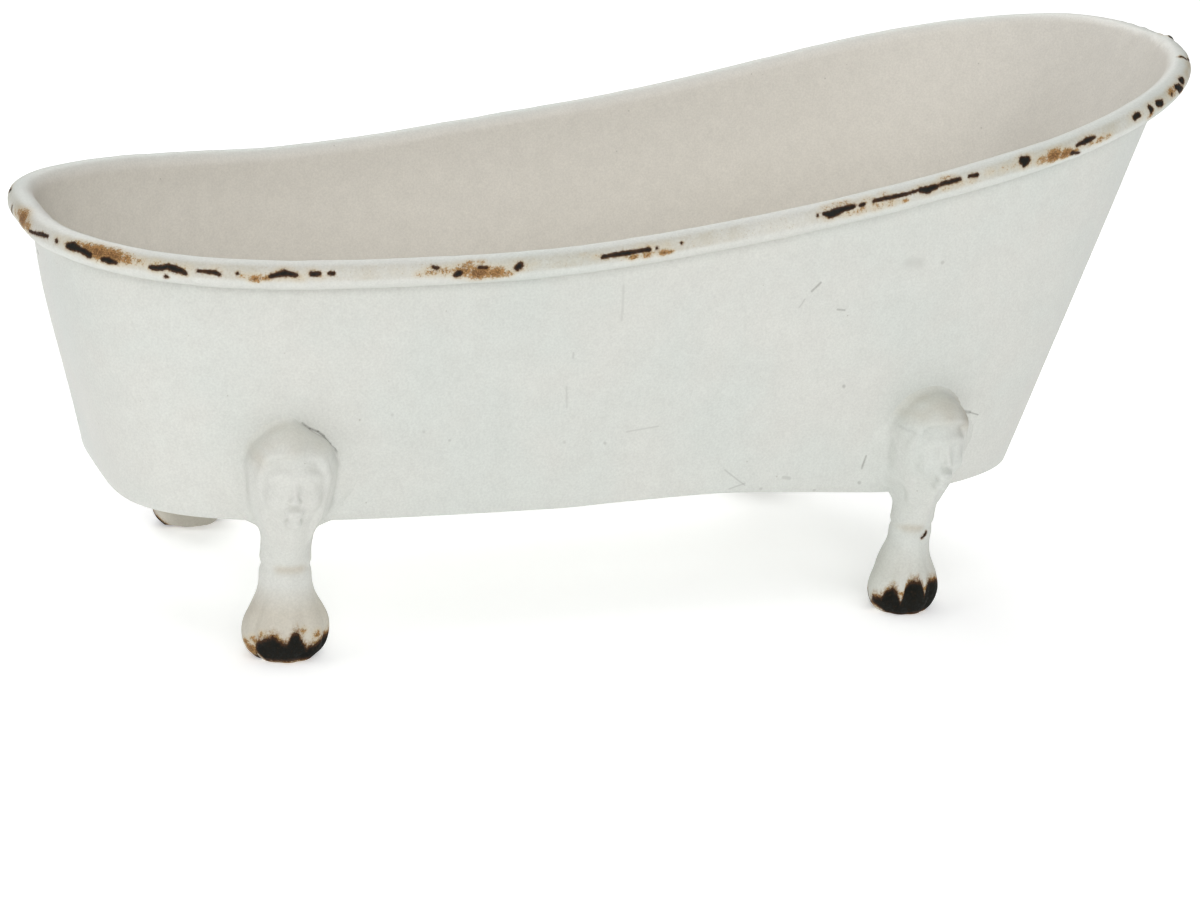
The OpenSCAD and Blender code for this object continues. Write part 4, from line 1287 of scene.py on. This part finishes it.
def paint_material(name, sheet=True, marks=False):
    m = Nodes(name)
    vec = m.coords()
    chip, rust, inside = m.attr("chip"), m.attr("rust"), m.attr("inside")
    wide = m.noise(vec, 0.035, 3.0, 0.6)
    mid = m.noise(vec, 0.28, 4.0, 0.6)
    fine = m.noise(vec, 2.4, 4.0, 0.65)
    grain = m.noise(vec, 6.0, 3.0, 0.7)
    mott = m.noise(vec, 1.7, 5.0, 0.72)
    mott2 = m.noise(vec, 4.2, 4.0, 0.7)

    def times(base, f):
        cl = m.t.nodes.new("ShaderNodeCombineColor")
        for i in range(3):
            m.link(f, cl.inputs[i])
        return m.mix(1.0, base, cl.outputs[0], "MULTIPLY")

    # paint, cooler outside and warmer inside
    base = m.mix(m.ramp(wide, 0.35, 0.68), PAINT, PAINT_COOL)
    base = m.mix(inside, base, PAINT_IN)
    base = times(base, m.math("MULTIPLY", m.ramp(mid, 0.3, 0.72, 0.975, 1.02), m.ramp(fine, 0.25, 0.75, 0.930, 1.055)))
    base = m.mix(m.ramp(grain, 0.62, 0.82, 0.0, 0.14), base, (0.46, 0.45, 0.40))
    # sparse tiny specks of dirt
    vd, vc = m.voronoi(vec, 0.42)
    sep = m.t.nodes.new("ShaderNodeSeparateColor")
    m.link(vc, sep.inputs[0])
    few = m.math("GREATER_THAN", sep.outputs[0], 0.86)
    size = m.math("MULTIPLY_ADD", sep.outputs[1], 0.055, 0.03)
    dot = m.math("LESS_THAN", vd, size)
    base = m.mix(m.math("MULTIPLY", m.math("MULTIPLY", few, dot), 0.45), base, (0.33, 0.31, 0.26))

    if sheet:
        # the grimy band along the bead's outer shoulder
        grime = m.math("MULTIPLY", m.attr("band"), m.ramp(m.math("ADD", m.math("MULTIPLY", mid, 0.5), m.math("MULTIPLY", mott, 0.5)),
                                                          0.34, 0.60, 0.45, 1.0))
        grime = m.math("MULTIPLY", grime, m.ramp(m.noise(vec, 0.07, 2.0), 0.35, 0.62, 0.38, 0.86))
        base = m.mix(grime, base, (0.80, 0.745, 0.665), "MULTIPLY")
        specks = m.math("MULTIPLY", m.ramp(m.noise(vec, 2.3, 5.0, 0.75), 0.575, 0.66), m.math("MULTIPLY", m.attr("band"), 0.55))
        base = m.mix(specks, base, (0.40, 0.31, 0.17))
        base = m.mix(m.math("MULTIPLY", m.attr("stain"), m.ramp(mott, 0.3, 0.65, 0.5, 1.0)), base, (0.33, 0.25, 0.19))
    else:
        # darker paint on the cap and paw, plus painted shade under the ankle cuff and the shadow smudges beside the cap
        base = m.mix(m.attr("tint_and_painted_shade"), base, (0.875, 0.82, 0.755), "MULTIPLY")
        dirt = m.math("MULTIPLY", m.ramp(m.attr("groove"), 0.015, 0.14), m.ramp(fine, 0.25, 0.75, 0.5, 1.0))
        base = m.mix(m.math("MULTIPLY", dirt, 0.42), base, (0.44, 0.39, 0.33))

    if marks:
        wob = m.math("MULTIPLY", m.math("SUBTRACT", m.noise(vec, 0.6, 3.0), 0.5), 0.5)
        outer = m.math("SUBTRACT", 1.0, inside)
        for ax, az, bx, bz, r, dark in WALL_MARKS:
            k = segment_mask(m, vec, (ax, az), (bx, bz), r, soft=0.08 if r < 0.6 else 0.9, wobble=wob)
            k = m.math("MULTIPLY", m.math("MULTIPLY", k, outer), m.ramp(fine, 0.3, 0.6, 0.5, 1.0))
            base = m.mix(m.math("MULTIPLY", k, dark), base, (0.16, 0.155, 0.135))

        nick = m.t.nodes.new("ShaderNodeVectorMath")
        nick.operation = "SUBTRACT"
        m.link(vec, nick.inputs[0])
        nick.inputs[1].default_value = (-114.0, 8.0, 67.2)
        shrink = m.t.nodes.new("ShaderNodeVectorMath")
        shrink.operation = "MULTIPLY"
        m.link(nick.outputs[0], shrink.inputs[0])
        shrink.inputs[1].default_value = (0.5, 0.40, 0.70)
        length = m.t.nodes.new("ShaderNodeVectorMath")
        length.operation = "LENGTH"
        m.link(shrink.outputs[0], length.inputs[0])
        ragged = m.math("MULTIPLY", m.math("ADD", mott, m.noise(vec, 0.8, 3.0)), 0.75)
        base = m.mix(m.ramp(m.math("ADD", length.outputs["Value"], ragged), 1.15, 0.85, 0.0, 0.80),
                     base, (0.05, 0.05, 0.045))

    # rust: a pale stain, then mottled ochre and brown where it is strong
    speckle = m.noise(vec, 3.6, 5.0, 0.75)
    base = m.mix(m.ramp(rust, 0.04, 0.55, 0.0, 0.55), base, (0.60, 0.50, 0.33))
    lvl = m.math("ADD", m.math("MULTIPLY", rust, 0.80), m.math("MULTIPLY", m.math("SUBTRACT", mott, 0.5), 1.25))
    lvl = m.math("ADD", lvl, m.math("MULTIPLY", m.math("SUBTRACT", speckle, 0.5), 0.75))
    ochre = m.ramp(lvl, 0.34, 0.54)
    base = m.mix(m.math("MULTIPLY", ochre, 0.93), base, m.mix(m.ramp(mott2, 0.42, 0.58), (0.39, 0.185, 0.052), (0.33, 0.215, 0.072)))
    lvl2 = m.math("ADD", m.math("MULTIPLY", rust, 0.66), m.math("MULTIPLY", m.math("SUBTRACT", mott2, 0.5), 1.9))
    brown = m.ramp(lvl2, 0.46, 0.62)
    base = m.mix(m.math("MULTIPLY", brown, 0.88), base, (0.13, 0.060, 0.024))

    # bare, darkened metal where the paint has chipped
    rough1 = m.math("MULTIPLY", m.math("SUBTRACT", m.noise(vec, 1.5, 5.0, 0.7), 0.5), 0.75 if sheet else 1.5)
    rough2 = m.math("MULTIPLY", m.math("SUBTRACT", mott2, 0.5), 0.45 if sheet else 0.8)
    edge = m.math("ADD", m.math("ADD", chip, rough1), rough2)
    bare = m.ramp(edge, 0.09, -0.02) if sheet else m.ramp(edge, 0.14, -0.06)
    halo = m.math("MULTIPLY", m.ramp(edge, 0.55 if sheet else 1.7, 0.06), m.ramp(mott, 0.40, 0.58))
    orange = m.mix(m.ramp(m.noise(vec, 0.9, 3.0), 0.40, 0.60), (0.25, 0.125, 0.042), (0.36, 0.24, 0.090))
    base = m.mix(m.math("MULTIPLY", halo, 0.88 if not sheet else 0.66), base, orange)
    close = m.math("MULTIPLY", m.ramp(edge, 0.26 if sheet else 0.85, 0.02), m.ramp(mott2, 0.38, 0.56))
    base = m.mix(m.math("MULTIPLY", close, 0.85), base, (0.115, 0.052, 0.020))
    metal = m.mix(m.ramp(mott, 0.50, 0.75), (0.0085, 0.0088, 0.0070), (0.030, 0.019, 0.011))
    deep = m.ramp(edge, 0.0, -0.40 if sheet else -0.75)
    color = m.mix(bare, base, m.mix(deep, (0.060, 0.028, 0.013), metal))
    if not sheet:
        # painted shade: near-black for the gap shadow beside the cap, the shadow smudges, the line along the shoulders
        # and the shade under the heel
        color = m.mix(m.attr("seam"), color, (0.030, 0.024, 0.020))
    m.link(color, m.bsdf.inputs["Base Color"])

    # gloss
    r = m.ramp(mid, 0.3, 0.7, 0.42, 0.54)
    r = m.math("MULTIPLY_ADD", m.math("MAXIMUM", ochre, halo), 0.30, r)
    r = m.math("MULTIPLY_ADD", bare, 0.16, r, clamp=True)
    m.link(r, m.bsdf.inputs["Roughness"])
    m.bsdf.inputs["Specular IOR Level"].default_value = 0.22 if sheet else 0.15

    # relief: soft orange peel of brushed paint, gritty rust and the paint's broken edge
    peel = m.math("ADD", m.math("MULTIPLY", m.noise(vec, 0.55, 3.0), 0.7), m.math("MULTIPLY", fine, 0.26))
    n1 = m.bump(peel, 0.60, 0.00018)
    grit = m.math("MULTIPLY", mott2, m.math("MAXIMUM", m.math("MULTIPLY", ochre, 0.5), bare))
    n2 = m.bump(grit, 0.6, 0.00012, n1)
    n3 = m.bump(m.math("SUBTRACT", 1.0, bare), 0.8, 0.00012, n2)
    m.link(n3, m.bsdf.inputs["Normal"])
    return m.mat


def steel_material(name, tone, rust_share, rough):
    m = Nodes(name)
    vec = m.coords()
    a, b, c = m.noise(vec, 0.9, 4.0, 0.6), m.noise(vec, 3.5, 4.0, 0.65), m.noise(vec, 0.12, 2.0)
    col = m.mix(m.ramp(a, 0.3, 0.7), tone, tuple(x * 0.72 for x in tone))
    spots = m.ramp(m.math("ADD", m.math("MULTIPLY", a, 0.5), m.math("MULTIPLY", b, 0.5)), 0.60 - rust_share, 0.70 - rust_share)
    col = m.mix(spots, col, (0.19, 0.09, 0.04))
    m.link(col, m.bsdf.inputs["Base Color"])
    m.bsdf.inputs["Metallic"].default_value = 0.85
    m.link(m.math("MULTIPLY_ADD", spots, 0.35, m.ramp(b, 0.3, 0.7, rough, rough + 0.16), clamp=True),
           m.bsdf.inputs["Roughness"])
    m.link(m.bump(b, 0.3, 0.00006), m.bsdf.inputs["Normal"])
    return m.mat


# The pale floor is lit a little from within, as a light table is
FLOOR_GLOW = 0.35


def plain_floor_material():
    m = Nodes("pale_floor")
    vec = m.coords()
    n = m.noise(vec, 0.004, 2.0)
    m.link(m.mix(m.ramp(n, 0.3, 0.7), (0.93, 0.93, 0.93), (0.925, 0.927, 0.93)), m.bsdf.inputs["Base Color"])
    m.bsdf.inputs["Roughness"].default_value = 0.9
    m.bsdf.inputs["Specular IOR Level"].default_value = 0.1
    m.bsdf.inputs["Emission Color"].default_value = (1.0, 1.0, 1.0, 1.0)
    m.bsdf.inputs["Emission Strength"].default_value = FLOOR_GLOW
    return m.mat


# ---------------------------------------------------------------------------
# Build
# ---------------------------------------------------------------------------
sheet_paint = paint_material("paint_on_sheet", sheet=True, marks=True)
pan_paint = paint_material("paint_on_pan", sheet=True, marks=False)
cast_paint = paint_material("paint_on_casting", sheet=False)
wire_steel = steel_material("drawn_wire", (0.30, 0.28, 0.26), 0.06, 0.45)
fastener_steel = steel_material("plated_fastener", (0.46, 0.45, 0.42), -0.02, 0.34)

pieces = []


def place(ob, material, slot, *nodes):
    ob.data.materials.clear()
    ob.data.materials.append(material)
    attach(ob, "root")
    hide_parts(*nodes)
    pieces.append(ob)


place(build_wall(), sheet_paint, "painted_sheet", "wall_and_rolled_rim")
place(build_pan(), pan_paint, "painted_sheet", "floor_pan")
for which in ("low", "high"):
    shape = sculpt_foot(which)
    for side in ("front", "back"):
        place(build_foot(side, which, shape), cast_paint, "painted_casting", f"claw_foot_{side}_{which}")
screws, washers = build_fasteners()
place(screws, fastener_steel, "fastener_steel", "foot_screws")
place(washers, fastener_steel, "fastener_steel", "foot_washers")
for name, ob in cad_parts.items():
    if not ob.hide_render:
        ob.data.materials.clear()
        ob.data.materials.append(wire_steel)

# ---------------------------------------------------------------------------
# Floor and light
# ---------------------------------------------------------------------------
gs = bpy.data.meshes.new("floor_plane")
r = 6.0
ring_n = 48
gv = [(0, 0, 0)] + [(r * math.cos(2 * math.pi * i / ring_n), r * math.sin(2 * math.pi * i / ring_n), 0) for i in range(ring_n)]
gs.from_pydata(gv, [], [(0, 1 + i, 1 + (i + 1) % ring_n) for i in range(ring_n)])
ground = bpy.data.objects.new("floor_plane", gs)
bpy.context.scene.collection.objects.link(ground)
gs.materials.append(plain_floor_material())

world = bpy.data.worlds.new("studio")
bpy.context.scene.world = world
world.use_nodes = True
bg = world.node_tree.nodes.get("Background")
bg.inputs[0].default_value = (1.0, 1.0, 1.0, 1.0)
bg.inputs[1].default_value = 0.06


def area(name, at, to, size, power, color=(1, 1, 1)):
    d = bpy.data.lights.new(name, "AREA")
    d.shape = "RECTANGLE"
    d.size, d.size_y = size
    d.energy = power
    d.color = color
    o = bpy.data.objects.new(name, d)
    bpy.context.scene.collection.objects.link(o)
    o.location = at
    o.rotation_euler = (Vector(to) - Vector(at)).to_track_quat("-Z", "Y").to_euler()
    return o


area("front", (-0.45, -1.6, 0.75), (0, 0, 0.04), (0.9, 0.9), 11.5)
area("front_right", (0.6, -1.4, 1.0), (0, 0, 0.04), (0.9, 0.9), 3.9)
area("top", (0.1, 0.0, 1.7), (0, 0, 0.04), (1.6, 1.2), 6.4)
area("top_front", (-0.1, -0.7, 1.5), (0, 0, 0.04), (1.4, 0.8), 3.9)
area("back", (0.0, 1.4, 1.2), (0, 0, 0.04), (1.6, 0.9), 17.8)
area("side", (-1.6, 0.0, 0.8), (0, 0, 0.04), (0.9, 0.9), 6.0)

sc = bpy.context.scene
sc.view_settings.view_transform = "Standard"
sc.view_settings.look = "None"
sc.view_settings.exposure = 0.0
sc.view_settings.gamma = 1.0
